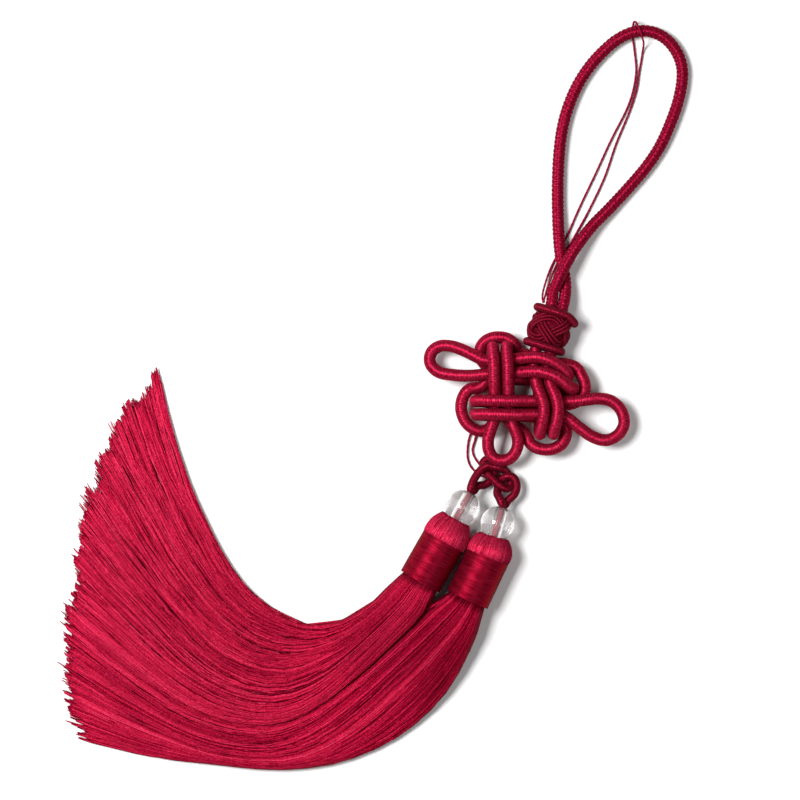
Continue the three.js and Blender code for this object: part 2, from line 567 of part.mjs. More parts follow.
// A closed ring of cord is a tube whose ends meet: its sections are joined round without a seam
function ringGeometry(rows, diameter, sides) {
  const curve = smooth(rows, true);
  const count = rows.length;
  const frames = curve.computeFrenetFrames(count, true);
  const positions = [];
  const index = [];
  for (let i = 0; i < count; i += 1) {
    const centre = curve.getPointAt(i / count);
    for (let k = 0; k < sides; k += 1) {
      const angle = (2 * Math.PI * k) / sides;
      const point = centre.clone()
        .addScaledVector(frames.normals[i], (diameter / 2) * Math.cos(angle))
        .addScaledVector(frames.binormals[i], (diameter / 2) * Math.sin(angle));
      positions.push(...point.toArray());
      const [a, b] = [i * sides + k, i * sides + ((k + 1) % sides)];
      const [c, d] = [((i + 1) % count) * sides + k, ((i + 1) % count) * sides + ((k + 1) % sides)];
      index.push(a, b, d, a, d, c);
    }
  }
  const geometry = new THREE.BufferGeometry();
  geometry.setAttribute("position", new THREE.Float32BufferAttribute(positions, 3));
  geometry.setIndex(index);
  return geometry;
}

// The knot settles round the collar's wraps, and the link cords and their string round the knot. What stays
// in place is given a little more room than it takes.
const ROOM = 0.8;
const asObstacle = (rows, diameter) => ({ points: vectors(rows), diameter: diameter + ROOM });
const wraps = [asObstacle(topWrap, WRAP_CORD), asObstacle(bottomWrap, WRAP_CORD)];
const [knotPoints] = settle([{ rows: knotRoute(), diameter: KNOT_CORD, step: 1.9, keep: 0.008 }], wraps);
const [leftPoints, rightPoints, linkStringPoints] = settle([
  { rows: LINK_LEFT_ROUTE, diameter: LINK_CORD, step: 1.3, keep: 0.01 },
  { rows: LINK_RIGHT_ROUTE, diameter: LINK_CORD, step: 1.3, keep: 0.01 },
  { rows: LINK_STRING_ROUTE, diameter: STRING, step: 0.9, keep: 0.01 },
], [{ points: knotPoints, diameter: KNOT_CORD + GAP }]);
const [loopPoints, stringPoints] = settle([
  { rows: LOOP_ROUTE, diameter: LOOP_CORD, step: 3, keep: 0.5 },
  { rows: STRING_ROUTE, diameter: STRING, step: 2, keep: 0.5 },
], wraps);

// The cords, with the sides of their section and their steps along the route
const CORDS = [
  { name: "hanging_loop", points: loopPoints, diameter: LOOP_CORD, sides: 8, steps: 64, look: BRAID },
  { name: "loop_string", points: stringPoints, diameter: STRING, sides: 8, steps: 64, look: DEEP },
  { name: "knot_cord", points: knotPoints, diameter: KNOT_CORD, sides: 8, steps: 226, look: SATIN },
  { name: "link_string", points: linkStringPoints, diameter: STRING, sides: 6, steps: 30, look: DEEP },
  { name: "link_cord_left", points: leftPoints, diameter: LINK_CORD, sides: 8, steps: 44, look: DEEP },
  { name: "link_cord_right", points: rightPoints, diameter: LINK_CORD, sides: 8, steps: 26, look: DEEP },
];
for (const { name, points, diameter, sides, steps, look } of CORDS) {
  add(name, cord(through(points), diameter, sides, steps), look);
}
add("collar_top_wrap", ringGeometry(topWrap, WRAP_CORD, WRAP.sides), DEEP);
addButton();
add("collar_bottom_wrap", ringGeometry(bottomWrap, WRAP_CORD, WRAP.sides), DEEP);
for (const tassel of TASSELS) {
  addBead(tassel);
  addTassel(tassel);
  addBand(tassel);
}

export default group;
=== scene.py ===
"""A Chinese knot tassel lying on a pale floor, seen from above.

The sizes, routes and rules of the solids are repeated here in millimetres, measured from the point where the
ornament was laid out, and every mesh is placed in the part's own frame in metres.
"""

import math

import bpy
import numpy as np
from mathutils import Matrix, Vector


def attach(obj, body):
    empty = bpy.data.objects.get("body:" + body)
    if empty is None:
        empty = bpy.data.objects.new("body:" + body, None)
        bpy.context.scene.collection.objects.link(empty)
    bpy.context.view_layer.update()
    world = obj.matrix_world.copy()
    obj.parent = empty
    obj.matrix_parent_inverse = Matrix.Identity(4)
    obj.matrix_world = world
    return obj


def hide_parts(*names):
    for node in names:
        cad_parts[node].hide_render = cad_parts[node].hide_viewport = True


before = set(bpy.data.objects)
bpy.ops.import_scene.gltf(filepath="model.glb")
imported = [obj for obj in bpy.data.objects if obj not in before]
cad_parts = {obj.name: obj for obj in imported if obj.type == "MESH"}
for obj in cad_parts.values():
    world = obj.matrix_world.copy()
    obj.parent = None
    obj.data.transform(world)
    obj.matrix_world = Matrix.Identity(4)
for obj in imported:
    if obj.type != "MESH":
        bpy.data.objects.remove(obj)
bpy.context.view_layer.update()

MM = 0.001
LAID_AT = np.array([0.32, -0.99, 0.0])

# Driving sizes, as in the solids
KNOT_CORD = 3.5
LOOP_CORD = 3.3
STRING = 0.6
LINK_CORD = 2.4
WRAP_CORD = 2.4
BEAD = 10.0
BORE = 2.6
STEM = 1.9
HEAD_RADIUS = 6.3
BAND_LENGTH = 13.7
BAND_THICKNESS = 0.6

# The photograph's frame: its size, that of a bead in it, and the pixel at the laying-out point
FRAME_PIXELS = 800
BEAD_PIXELS = 35
MM_PER_PIXEL = BEAD / BEAD_PIXELS
LAID_PIXEL = (346.5, 538.0)


def part_frame(points):
    """Millimetres from the laying-out point to metres in the part's frame."""
    return (np.asarray(points, float) + LAID_AT) * MM


# Camera, straight above as in the photograph

CAMERA_LENS = 150.0
SENSOR = 36.0
CAMERA_AIM_HEIGHT = 5.0


def make_camera():
    middle = FRAME_PIXELS / 2
    x = (middle - LAID_PIXEL[0]) * MM_PER_PIXEL
    y = (LAID_PIXEL[1] - middle) * MM_PER_PIXEL
    width = FRAME_PIXELS * MM_PER_PIXEL
    height = CAMERA_AIM_HEIGHT + width * CAMERA_LENS / SENSOR
    data = bpy.data.cameras.new("camera")
    data.lens = CAMERA_LENS
    data.sensor_width = SENSOR
    data.clip_start = 0.01
    data.clip_end = 10
    camera = bpy.data.objects.new("camera", data)
    camera.location = part_frame([x, y, height])
    bpy.context.scene.collection.objects.link(camera)
    bpy.context.scene.camera = camera


# Curves: a smooth line through points, and its points spaced evenly along it

LENGTH_DIVISIONS = 200


def ways_along(points):
    """The way along points to each of them."""
    return np.concatenate([[0], np.cumsum(np.linalg.norm(np.diff(points, axis=0), axis=1))])


class Line:
    """A centripetal curve through points."""

    def __init__(self, points, closed=False):
        self.points = np.asarray(points, float)
        self.closed = closed
        self.marks = np.linspace(0, 1, LENGTH_DIVISIONS + 1)
        self.lengths = ways_along(self.at(self.marks))
        self.length = self.lengths[-1]

    def at(self, t):
        """Points at the parameters t, from 0 to 1."""
        points = self.points
        count = len(points)
        spans = count if self.closed else count - 1
        place = np.asarray(t, float) * spans
        span = np.minimum(np.floor(place).astype(int), spans - 1)
        weight = (place - span)[:, None]
        if self.closed:
            p0, p1 = points[(span - 1) % count], points[span % count]
            p2, p3 = points[(span + 1) % count], points[(span + 2) % count]
        else:
            before, after = 2 * points[0] - points[1], 2 * points[-1] - points[-2]
            padded = np.vstack([before, points, after])
            p0, p1, p2, p3 = (padded[span + k] for k in range(4))
        d0, d1, d2 = (np.sum((b - a) ** 2, axis=1) ** 0.25 for a, b in ((p0, p1), (p1, p2), (p2, p3)))
        d0, d1, d2 = (d[:, None] for d in (d0, d1, d2))
        t1 = ((p1 - p0) / d0 - (p2 - p0) / (d0 + d1) + (p2 - p1) / d1) * d1
        t2 = ((p2 - p1) / d1 - (p3 - p1) / (d1 + d2) + (p3 - p2) / d2) * d1
        c2 = -3 * p1 + 3 * p2 - 2 * t1 - t2
        c3 = 2 * p1 - 2 * p2 + t1 + t2
        return p1 + t1 * weight + c2 * weight ** 2 + c3 * weight ** 3

    def along(self, share):
        """Points at the shares of the line's length."""
        return self.at(np.interp(np.asarray(share, float) * self.length, self.lengths, self.marks))

    def spaced(self, count):
        return self.along(np.linspace(0, 1, count + 1))


def tangents(points, closed=False):
    if closed:
        step = np.roll(points, -1, axis=0) - np.roll(points, 1, axis=0)
    else:
        step = np.gradient(points, axis=0)
    return step / np.linalg.norm(step, axis=1)[:, None]


# The collar's own frame, across it, along it and up

COLLAR = {"middle": (57.9, 59.6, 6.6), "lean": math.radians(17.2), "half": 4.0, "across": 5.8, "deep": 4.8}
WRAP = {"across": 4.3, "deep": 3.5, "steps": 22, "bulge_out": 1.3, "bulge_down": 1.6}
GAP = 0.3
WRAP_ALONG = COLLAR["half"] + GAP + WRAP_CORD / 2


def on_collar(across, along, up):
    x, y, z = COLLAR["middle"]
    cos, sin = math.cos(COLLAR["lean"]), math.sin(COLLAR["lean"])
    return [x + across * cos + along * sin, y - across * sin + along * cos, z + up]


END = {"apart": 0.05, "below": 0.9}


def collar_end(side):
    return on_collar(side * (KNOT_CORD / 2 + END["apart"]), -COLLAR["half"] - END["below"], 0)


def wrap_route(along, bulges):
    rows = []
    for i in range(WRAP["steps"]):
        angle = 2 * math.pi * i / WRAP["steps"]
        bulge = max(0.0, math.cos(angle)) ** 6 if bulges else 0.0
        rows.append(on_collar(
            (WRAP["across"] + WRAP_CORD / 2) * math.cos(angle) + WRAP["bulge_out"] * bulge,
            along - WRAP["bulge_down"] * bulge,
            (WRAP["deep"] + WRAP_CORD / 2) * math.sin(angle),
        ))
    return rows


TOP_WRAP = wrap_route(WRAP_ALONG, True)
BOTTOM_WRAP = wrap_route(-WRAP_ALONG, False)

# Routes of the cords

LOOP_ROUTE = [
    on_collar(-1.75, 4.35, 0), on_collar(-1.75, 7.0, 0),
    [59.3, 70.9, 5.9], [61.1, 75.0, 6.2], [63.1, 79.1, 6.0],
    [66.0, 83.7, 4.9], [70.1, 89.0, 3.3], [75.3, 94.3, 2.2], [81.2, 100.7, 1.75], [86.1, 106.5, 1.75],
    [89.9, 112.3, 1.75], [92.8, 118.7, 1.75], [94.9, 124.6, 1.75], [96.1, 130.4, 1.75], [96.1, 135.1, 1.75],
    [94.3, 139.7, 1.8], [91.1, 143.2, 2.1], [87.0, 145.0, 2.5], [82.9, 145.0, 2.5], [78.3, 143.2, 2.2],
    [74.2, 140.0, 1.8], [70.1, 135.6, 1.75], [66.6, 130.4, 1.75], [63.7, 124.0, 1.75], [61.9, 117.6, 1.75],
    [60.9, 110.0, 1.75], [60.5, 101.2, 1.75], [60.5, 95.4, 1.8], [60.7, 88.0, 2.5], [61.1, 82.3, 2.9],
    [61.9, 77.1, 3.0], [62.6, 72.3, 3.8], on_collar(1.75, 7.0, -0.4), on_collar(1.75, 4.35, 0),
]
STRING_ROUTE = [
    on_collar(-3.9, 6.9, -1.2), [56.1, 69.6, 3.0], [57.4, 74.3, 1.2], [59.0, 78.3, 0.35], [61.6, 83.1, 0.35],
    [63.1, 86.1, 0.35], [66.6, 94.2, 0.35], [71.3, 104.1, 0.35], [75.9, 114.1, 0.35], [80.6, 123.4, 0.35],
    [82.3, 128.6, 0.35], [83.1, 133.9, 0.35], [82.7, 138.8, 0.35], [82.2, 143.0, 0.35], [82.1, 146.3, 0.4],
    [82.4, 147.9, 2.3], [83.0, 147.0, 4.6], [83.8, 145.0, 5.2], [84.6, 142.9, 4.7], [85.1, 141.4, 2.6],
    [85.0, 140.0, 0.8], [84.6, 137.2, 0.35], [83.9, 133.3, 0.35], [83.2, 128.6, 0.35], [81.5, 123.1, 0.35],
    [77.3, 112.9, 0.35], [74.1, 103.6, 0.35], [69.7, 94.2, 0.35], [66.2, 87.8, 0.35], [64.3, 84.5, 0.35],
    [60.4, 78.6, 0.35], [58.6, 74.4, 1.3], [56.9, 69.6, 3.4], on_collar(-3.8, 6.9, 0.8),
]
LINK_STRING_ROUTE = [
    [37.4, 31.4, 0.9], [36.9, 28.2, 0.6], [36.4, 25.4, 0.5], [36.9, 23.4, 0.4], [38.0, 21.7, 0.4],
    [39.3, 20.1, 0.4], [40.2, 18.7, 0.4], [39.0, 18.2, 0.4], [37.1, 19.3, 0.4], [35.7, 20.9, 0.4],
    [35.0, 23.0, 0.4], [34.9, 25.4, 0.5], [35.2, 28.1, 0.6], [36.0, 31.0, 0.9],
]
LINK_LEFT_ROUTE = [
    [35.41, 14.1, 7.65], [36.0, 15.7, 6.5], [37.4, 18.1, 4.8], [39.6, 20.1, 4.0], [41.9, 20.4, 4.0],
    [44.1, 19.4, 2.9], [45.9, 17.7, 1.3], [46.9, 15.7, 1.2], [46.1, 13.9, 1.9], [44.4, 14.1, 3.4],
    [42.9, 15.7, 4.2], [41.4, 17.6, 3.6], [40.3, 19.4, 1.4], [39.3, 21.4, 1.2], [40.4, 22.7, 1.2],
    [42.1, 22.0, 1.2], [42.9, 20.3, 1.3], [42.7, 18.3, 1.25], [41.6, 16.4, 1.3], [39.6, 15.1, 2.3],
    [38.0, 15.1, 3.9], [37.0, 14.6, 4.7], [36.45, 13.51, 4.95],
]
LINK_RIGHT_ROUTE = [
    [44.29, 9.9, 7.65], [44.2, 11.5, 6.2], [43.7, 13.2, 3.8], [43.5, 14.8, 1.7], [44.0, 16.8, 2.2],
    [45.1, 18.2, 3.5], [46.9, 18.4, 3.9], [48.4, 16.9, 4.0], [48.7, 14.6, 4.3], [47.9, 12.5, 4.6],
    [46.4, 11.2, 4.9], [45.7, 10.5, 4.95], [45.44, 9.53, 4.95],
]

# The knot: the lanes of its weave, its ears and the order in which its cord passes

KNOT_CENTRE = (51.1, 43.0)
LEVEL = {"back_low": 1.85, "back_high": 5.5, "middle": 7.3, "front_low": 9.1, "front_high": 12.7}
LANES = {
    "front": {
        "left_outer": [[-9.2, 9.6], [-8.9, 6.2], [-8.8, 1.0], [-8.7, -5.3], [-9.6, -10.2]],
        "left_inner": [[-5.0, 9.9], [-4.8, 6.2], [-4.7, 1.0], [-4.8, -5.3], [-3.6, -10.2]],
        "right_inner": [[3.4, 10.6], [2.6, 6.4], [3.5, 0.0], [5.2, -5.5], [4.2, -11.8]],
        "right_outer": [[7.4, 10.2], [6.7, 6.2], [7.8, 0.0], [9.1, -5.3], [8.1, -11.6]],
        "top_outer": [[-11.6, 7.6], [-6.8, 8.2], [-1.0, 8.5], [5.0, 8.7], [11.2, 5.6]],
        "top_inner": [[-11.6, 3.4], [-6.8, 3.9], [-1.0, 4.5], [5.2, 4.6], [11.6, 0.9]],
        "bottom_inner": [[-13.0, -2.9], [-6.8, -3.1], [-1.0, -3.5], [5.2, -3.9], [11.0, -4.1]],
        "bottom_outer": [[-13.0, -7.1], [-6.8, -7.3], [-1.0, -7.6], [5.2, -8.0], [11.0, -8.8]],
    },
    "back": {
        "left_outer": [[-8.9, 9.4], [-8.8, 6.2], [-8.8, 1.0], [-8.8, -5.3], [-9.0, -9.8]],
        "left_inner": [[-5.0, 9.6], [-4.9, 6.2], [-4.9, 1.0], [-4.9, -5.3], [-4.4, -9.8]],
        "right_inner": [[3.9, 9.2], [4.0, 6.2], [4.3, 0.0], [4.6, -5.5], [4.4, -11.4]],
        "right_outer": [[8.2, 9.6], [8.1, 6.0], [8.3, 0.0], [8.6, -5.4], [8.3, -11.2]],
        "top_outer": [[-10.8, 7.8], [-6.8, 8.1], [-1.0, 8.1], [6.0, 7.6], [11.0, 4.9]],
        "top_inner": [[-10.6, 3.6], [-6.8, 3.9], [-1.0, 4.0], [6.0, 3.5], [11.3, 0.8]],
        "bottom_inner": [[-12.6, -3.1], [-6.8, -3.3], [-1.0, -3.6], [6.6, -3.8], [10.6, -4.0]],
        "bottom_outer": [[-12.6, -7.2], [-6.8, -7.5], [-1.0, -7.8], [6.6, -8.1], [10.6, -8.9]],
    },
}
EARS = {
    "top_left": [[-0.4, 10.6, 5.6], [-1.9, 12.3, 6.4], [-4.9, 13.8, 6.8], [-8.2, 13.4, 6.8],
                 [-11.1, 11.3, 6.0]],
    "left": [[-14.9, 9.2, 8.6], [-18.2, 10.9, 7.8], [-21.6, 12.1, 6.8], [-25.2, 12.0, 5.8], [-27.6, 9.8, 5.3],
             [-27.6, 6.6, 5.2], [-25.2, 4.2, 5.6], [-21.2, 3.4, 6.6], [-16.2, 3.1, 7.8]],
    "bottom_left": [[-13.0, 0.4, 5.6], [-15.9, -0.2, 6.2], [-18.0, -3.0, 6.4], [-18.5, -6.4, 6.4],
                    [-17.1, -10.1, 5.8], [-14.2, -12.5, 4.4], [-11.2, -12.6, 3.4]],
    "bottom": [[-11.0, -15.0, 7.6], [-10.6, -18.7, 6.8], [-8.8, -20.9, 6.2], [-6.4, -21.4, 6.0],
               [-4.0, -20.6, 6.2], [-2.2, -18.2, 6.8], [-1.7, -15.0, 7.6]],
    "bottom_right": [[-1.0, -11.2, 5.2], [0.9, -13.6, 6.4], [2.0, -16.0, 7.0], [4.4, -17.4, 7.2],
                     [7.5, -17.4, 7.0], [10.0, -15.7, 6.4], [11.0, -12.8, 5.8]],
    "right": [[15.6, -12.1, 7.8], [19.2, -14.5, 6.8], [23.1, -15.5, 5.8], [26.8, -13.9, 5.3],
              [28.7, -10.4, 5.2], [27.6, -6.2, 5.5], [24.5, -3.5, 6.4], [20.3, -2.9, 7.6],
              [15.6, -3.6, 8.6]],
    "top_right": [[13.8, -3.6, 5.8], [16.2, -1.2, 6.4], [16.2, 1.8, 6.6], [14.6, 4.4, 6.4],
                  [12.2, 7.0, 5.8]],
}
HOOK_OUT = {"up": 1.2, "down": 1.6, "left": 1.7, "right": 1.6}
HEADING = {"up": (0, 1), "down": (0, -1), "left": (-1, 0), "right": (1, 0)}

# layer, lane, heading, over or under at the first and second crossing, and what comes before the next pass
PASSES = [
    ("front", "right_inner", "down", "under", "over", "hook"),
    ("back", "right_inner", "up", "under", "over", "top_left"),
    ("back", "top_outer", "right", "over", "under", "hook"),
    ("front", "top_outer", "left", "over", "under", "left"),
    ("front", "top_inner", "right", "under", "over", "hook"),
    ("back", "top_inner", "left", "under", "over", "bottom_left"),
    ("back", "left_outer", "up", "over", "under", "hook"),
    ("front", "left_outer", "down", "over", "under", "bottom"),
    ("front", "left_inner", "up", "under", "over", "hook"),
    ("back", "left_inner", "down", "under", "over", "bottom_right"),
    ("back", "bottom_outer", "left", "over", "under", "hook"),
    ("front", "bottom_outer", "right", "over", "under", "right"),
    ("front", "bottom_inner", "left", "under", "over", "hook"),
    ("back", "bottom_inner", "right", "under", "over", "top_right"),
    ("back", "right_outer", "down", "over", "under", "hook"),
    ("front", "right_outer", "up", "over", "under", "end"),
]


def on_knot(x, y, z):
    return [KNOT_CENTRE[0] + x, KNOT_CENTRE[1] + y, z]


def knot_route():
    route = [collar_end(-1)]
    for layer, lane, going, first, second, following in PASSES:
        plan = LANES[layer][lane]
        if going in ("up", "left"):
            plan = plan[::-1]
        one, two = (LEVEL[f"{layer}_{'high' if way == 'over' else 'low'}"] for way in (first, second))
        middle = LEVEL["middle"]
        levels = [(one + middle) / 2, one, (one + two) / 2, two, (two + middle) / 2]
        route += [on_knot(x, y, z) for (x, y), z in zip(plan, levels)]
        if following == "hook":
            out = HOOK_OUT[going]
            dx, dy = HEADING[going]
            route.append(on_knot(plan[-1][0] + dx * out, plan[-1][1] + dy * out, middle))
        elif following == "end":
            route.append(collar_end(1))
        else:
            route += [on_knot(*row) for row in EARS[following]]
    return route


# Cords as they settle: each round pushes strands that are too near apart, evens out how far they are pushed,
# eases bends a little and keeps them off the surface, by the same rule as in the solids

SETTLE = {"rounds": 400, "clear": 0.45, "along": 1.5, "push": 0.5, "even": 0.25, "ease": 0.03, "floor": 0.12}
ROOM = 0.8


def settle(cords, fixed=()):
    """cords are (rows, diameter, step, keep); fixed are (points, diameter) that stay where they are."""
    wanted, which, order, apart, thick, keep, held = [], [], [], [], [], [], []
    for number, (rows, diameter, step, firm) in enumerate(cords):
        line = Line(rows)
        count = round(line.length / step)
        wanted.append(line.spaced(count))
        which += [number] * (count + 1)
        order += list(range(count + 1))
        apart += [math.ceil(SETTLE["along"] * diameter / step)] * (count + 1)
        thick += [diameter] * (count + 1)
        keep += [firm] * (count + 1)
        held += [i in (0, count) for i in range(count + 1)]
    moving = len(which)
    for points, diameter in fixed:
        wanted.append(np.asarray(points, float))
        which += [-1] * len(points)
        order += list(range(len(points)))
        thick += [diameter] * len(points)
    wanted = np.vstack(wanted)
    which, order, thick = np.array(which), np.array(order), np.array(thick)
    free = ~np.array(held)[:, None]
    keep = np.array(keep)[:, None]
    same = which[:moving, None] == which[None, :]
    later = np.arange(len(which))[None, :] > np.arange(moving)[:, None]
    far_along = (order[None, :] - order[:moving, None]) >= np.array(apart)[:, None]
    pairs = np.argwhere(later & (~same | far_along))
    first, second = pairs[:, 0], pairs[:, 1]
    room = (thick[first] + thick[second]) / 2 + SETTLE["clear"]
    points = wanted.copy()
    here = np.arange(moving)
    before, after = np.maximum(here - 1, 0), np.minimum(here + 1, moving - 1)
    bend = (wanted[before] + wanted[after]) / 2 - wanted[:moving]
    lowest = thick[:moving] / 2 + SETTLE["floor"]
    for _ in range(SETTLE["rounds"]):
        shift = np.zeros_like(points)
        between = points[second] - points[first]
        distance = np.linalg.norm(between, axis=1)
        near = distance < room
        push = between[near] * (SETTLE["push"] * (room[near] - distance[near]) / distance[near])[:, None]
        np.subtract.at(shift, first[near], push)
        np.add.at(shift, second[near], push)
        shift = shift[:moving]
        shift += ((points[before] + points[after]) / 2 - points[:moving]) * (SETTLE["even"] + SETTLE["ease"])
        shift -= bend * SETTLE["even"]
        shift += (wanted[:moving] - points[:moving]) * keep
        points[:moving] += np.where(free, shift, 0)
        moved = free[:, 0]
        heights = points[:moving, 2]
        points[:moving, 2] = np.where(moved, np.maximum(heights, lowest), heights)
    return [points[:moving][which[:moving] == number] for number in range(len(cords))]


# Meshes

def build_mesh(name, vertices, groups, uvs, tone=0.4):
    """groups are arrays of faces, smooth quads or flat triangles; uvs has their corners' values."""
    corners = np.concatenate([group.ravel() for group in groups])
    sizes = np.concatenate([np.full(len(group), group.shape[1]) for group in groups])
    mesh = bpy.data.meshes.new(name)
    mesh.vertices.add(len(vertices))
    placed = part_frame(vertices)
    placed[:, 2] = np.maximum(placed[:, 2], 0)
    mesh.vertices.foreach_set("co", placed.ravel().astype(np.float32))
    mesh.loops.add(len(corners))
    mesh.loops.foreach_set("vertex_index", corners.astype(np.int32))
    mesh.polygons.add(len(sizes))
    starts = np.concatenate([[0], np.cumsum(sizes)[:-1]])
    mesh.polygons.foreach_set("loop_start", starts.astype(np.int32))
    mesh.polygons.foreach_set("use_smooth", sizes == 4)
    layer = mesh.uv_layers.new(name="around_along")
    flat = np.concatenate([uv.reshape(-1, 2) for uv in uvs]).ravel()
    layer.data.foreach_set("uv", flat.astype(np.float32))
    layer = mesh.attributes.new("tone", "FLOAT", "POINT")
    layer.data.foreach_set("value", np.broadcast_to(tone, len(vertices)).astype(np.float32))
    mesh.update(calc_edges=True)
    mesh.validate()
    return mesh


def add_piece(name, mesh, material, slot, *nodes):
    piece = bpy.data.objects.new(name.replace(" ", "_"), mesh)
    piece.data.materials.append(material)
    bpy.context.scene.collection.objects.link(piece)
    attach(piece, "root")
    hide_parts(*nodes)
    return piece


def cross_frames(points, closed=False):
    """Two directions across a line at each point, turning as little as they can along it."""
    along = tangents(points, closed)
    normals = np.empty_like(points)
    normal = np.cross(along[0], (0.0, 0.0, 1.0))
    if np.linalg.norm(normal) < 1e-3:
        normal = np.cross(along[0], (0.0, 1.0, 0.0))
    for i, direction in enumerate(along):
        normal = normal - direction * np.dot(normal, direction)
        normal /= np.linalg.norm(normal)
        normals[i] = normal
    return normals, np.cross(along, normals)


def grid_faces(rows, columns, closed_rows=False):
    """Quads between the rows of a grid whose columns close on themselves, and their places in it."""
    last = rows if closed_rows else rows - 1
    i, k = np.meshgrid(np.arange(last), np.arange(columns), indexing="ij")
    i, k = i.ravel(), k.ravel()
    onward, beside = (i + 1) % rows, (k + 1) % columns
    here, there = i * columns, onward * columns
    quads = np.stack([here + k, here + beside, there + beside, there + k], 1)
    corners = ((0, 0), (1, 0), (1, 1), (0, 1))
    places = np.stack([np.stack([k + a, i + b], 1) for a, b in corners], 1)
    return quads, places


def cap_faces(rows, columns):
    """Triangles that close a grid's first and last rows round two points, which follow the grid's own."""
    k = np.arange(columns)
    beside, base = (k + 1) % columns, (rows - 1) * columns
    middle = np.full(columns, rows * columns)
    return np.vstack([np.stack([middle, beside, k], 1), np.stack([middle + 1, base + k, base + beside], 1)])


def tube(name, points, radius, sides, closed=False, relief=None):
    """A tube round a line. Its surface values are the turn around it, 0 to 1, and the way along it in mm."""
    normals, sideways = cross_frames(points, closed)
    angle = 2 * math.pi * np.arange(sides) / sides
    way = ways_along(np.vstack([points, points[:1]]) if closed else points)
    reach = np.full((len(points), sides), float(radius))
    if relief is not None:
        reach += relief(angle[None, :], way[:len(points), None])
    rings = (points[:, None] + reach[..., None] * (
        np.cos(angle)[None, :, None] * normals[:, None] + np.sin(angle)[None, :, None] * sideways[:, None]))
    vertices = rings.reshape(-1, 3)
    quads, places = grid_faces(len(points), sides, closed)
    if not closed:
        way = np.append(way, way[-1])
    groups, uvs = [quads], [np.stack([places[..., 0] / sides, way[places[..., 1]]], -1)]
    if not closed:
        vertices = np.vstack([vertices, points[:1], points[-1:]])
        groups.append(cap_faces(len(points), sides))
        uvs.append(np.zeros((2 * sides, 3, 2)))
    return build_mesh(name, vertices, groups, uvs)


# Materials

def colour_of(red, green, blue):
    """A colour seen on a screen, 0 to 255, as the renderer's linear one."""
    linear = [((c / 255 + 0.055) / 1.055) ** 2.4 if c > 10 else c / 255 / 12.92 for c in (red, green, blue)]
    return (*linear, 1.0)


class Paint:
    """A material and its nodes."""

    def __init__(self, name, **values):
        self.material = bpy.data.materials.new(name)
        self.material.use_nodes = True
        self.tree = self.material.node_tree
        self.shader = self.tree.nodes["Principled BSDF"]
        for socket, value in values.items():
            self.shader.inputs[socket.replace("_", " ").title().replace("Ior", "IOR")].default_value = value

    def node(self, kind, inputs=None, **settings):
        node = self.tree.nodes.new(kind)
        for name, value in settings.items():
            setattr(node, name, value)
        for socket, value in (inputs or {}).items():
            if isinstance(value, bpy.types.NodeSocket):
                self.tree.links.new(value, node.inputs[socket])
            else:
                node.inputs[socket].default_value = value
        return node

    def math(self, operation, first, second=0.0):
        return self.node("ShaderNodeMath", {0: first, 1: second}, operation=operation).outputs[0]

    def ramp(self, factor, stops):
        node = self.node("ShaderNodeValToRGB", {"Fac": factor})
        elements = node.color_ramp.elements
        while len(elements) < len(stops):
            elements.new(0.5)
        for element, (place, colour) in zip(elements, stops):
            element.position = place
            element.color = colour
        return node.outputs["Color"]

    def noise(self, vector, scale, detail=2.0):
        inputs = {"Vector": vector, "Scale": scale, "Detail": detail}
        return self.node("ShaderNodeTexNoise", inputs).outputs[0]

    def surface_place(self, around, along):
        """The tube's own coordinates, scaled by so much around it and so much along it."""
        place = self.node("ShaderNodeTexCoord").outputs["UV"]
        return self.node("ShaderNodeMapping", {"Vector": place, "Scale": (around, along, 1)}).outputs[0]

    def bump(self, height, distance):
        node = self.node("ShaderNodeBump", {"Height": height, "Distance": distance})
        self.tree.links.new(node.outputs["Normal"], self.shader.inputs["Normal"])

    def colour(self, socket):
        self.tree.links.new(socket, self.shader.inputs["Base Color"])

    def shine(self, strength, turned):
        """A highlight that is long one way and short the other, as on threads that lie side by side."""
        tangent = self.node("ShaderNodeTangent", direction_type="UV_MAP", uv_map="around_along")
        self.tree.links.new(tangent.outputs[0], self.shader.inputs["Tangent"])
        self.shader.inputs["Anisotropic"].default_value = strength
        self.shader.inputs["Anisotropic Rotation"].default_value = turned


# A weak gloss that stays red, so that thread does not look wet
THREAD_GLOSS = {"specular_ior_level": 0.12, "specular_tint": (0.25, 0.012, 0.045, 1.0)}


def stops_of(*stops):
    """A ramp's stops from places and screen colours."""
    return [(place, colour_of(*colour)) for place, colour in stops]


def wound_satin(name, dark, middle, light, pitch, roughness, depth, lustre=0.6):
    """Thread wound close round a core: fine ridges across the cord and short streaks of lighter thread."""
    paint = Paint(name, roughness=roughness, metallic=lustre, **THREAD_GLOSS)
    place = paint.surface_place(1, 2 * math.pi / pitch)
    split = paint.node("ShaderNodeSeparateXYZ", {"Vector": place})
    turn = paint.math("MULTIPLY", split.outputs[0], 2 * math.pi)
    phase = paint.math("ADD", split.outputs[1], turn)
    ridge = paint.math("SINE", phase)
    streaks = paint.noise(paint.surface_place(9, 4.5), 1.0)
    mixed = paint.math("ADD", paint.math("MULTIPLY", ridge, 0.08), streaks)
    paint.colour(paint.ramp(mixed, stops_of((0.28, dark), (0.5, middle), (0.72, light))))
    paint.bump(paint.math("ADD", ridge, streaks), depth)
    paint.shine(0.8, 0.25)
    return paint


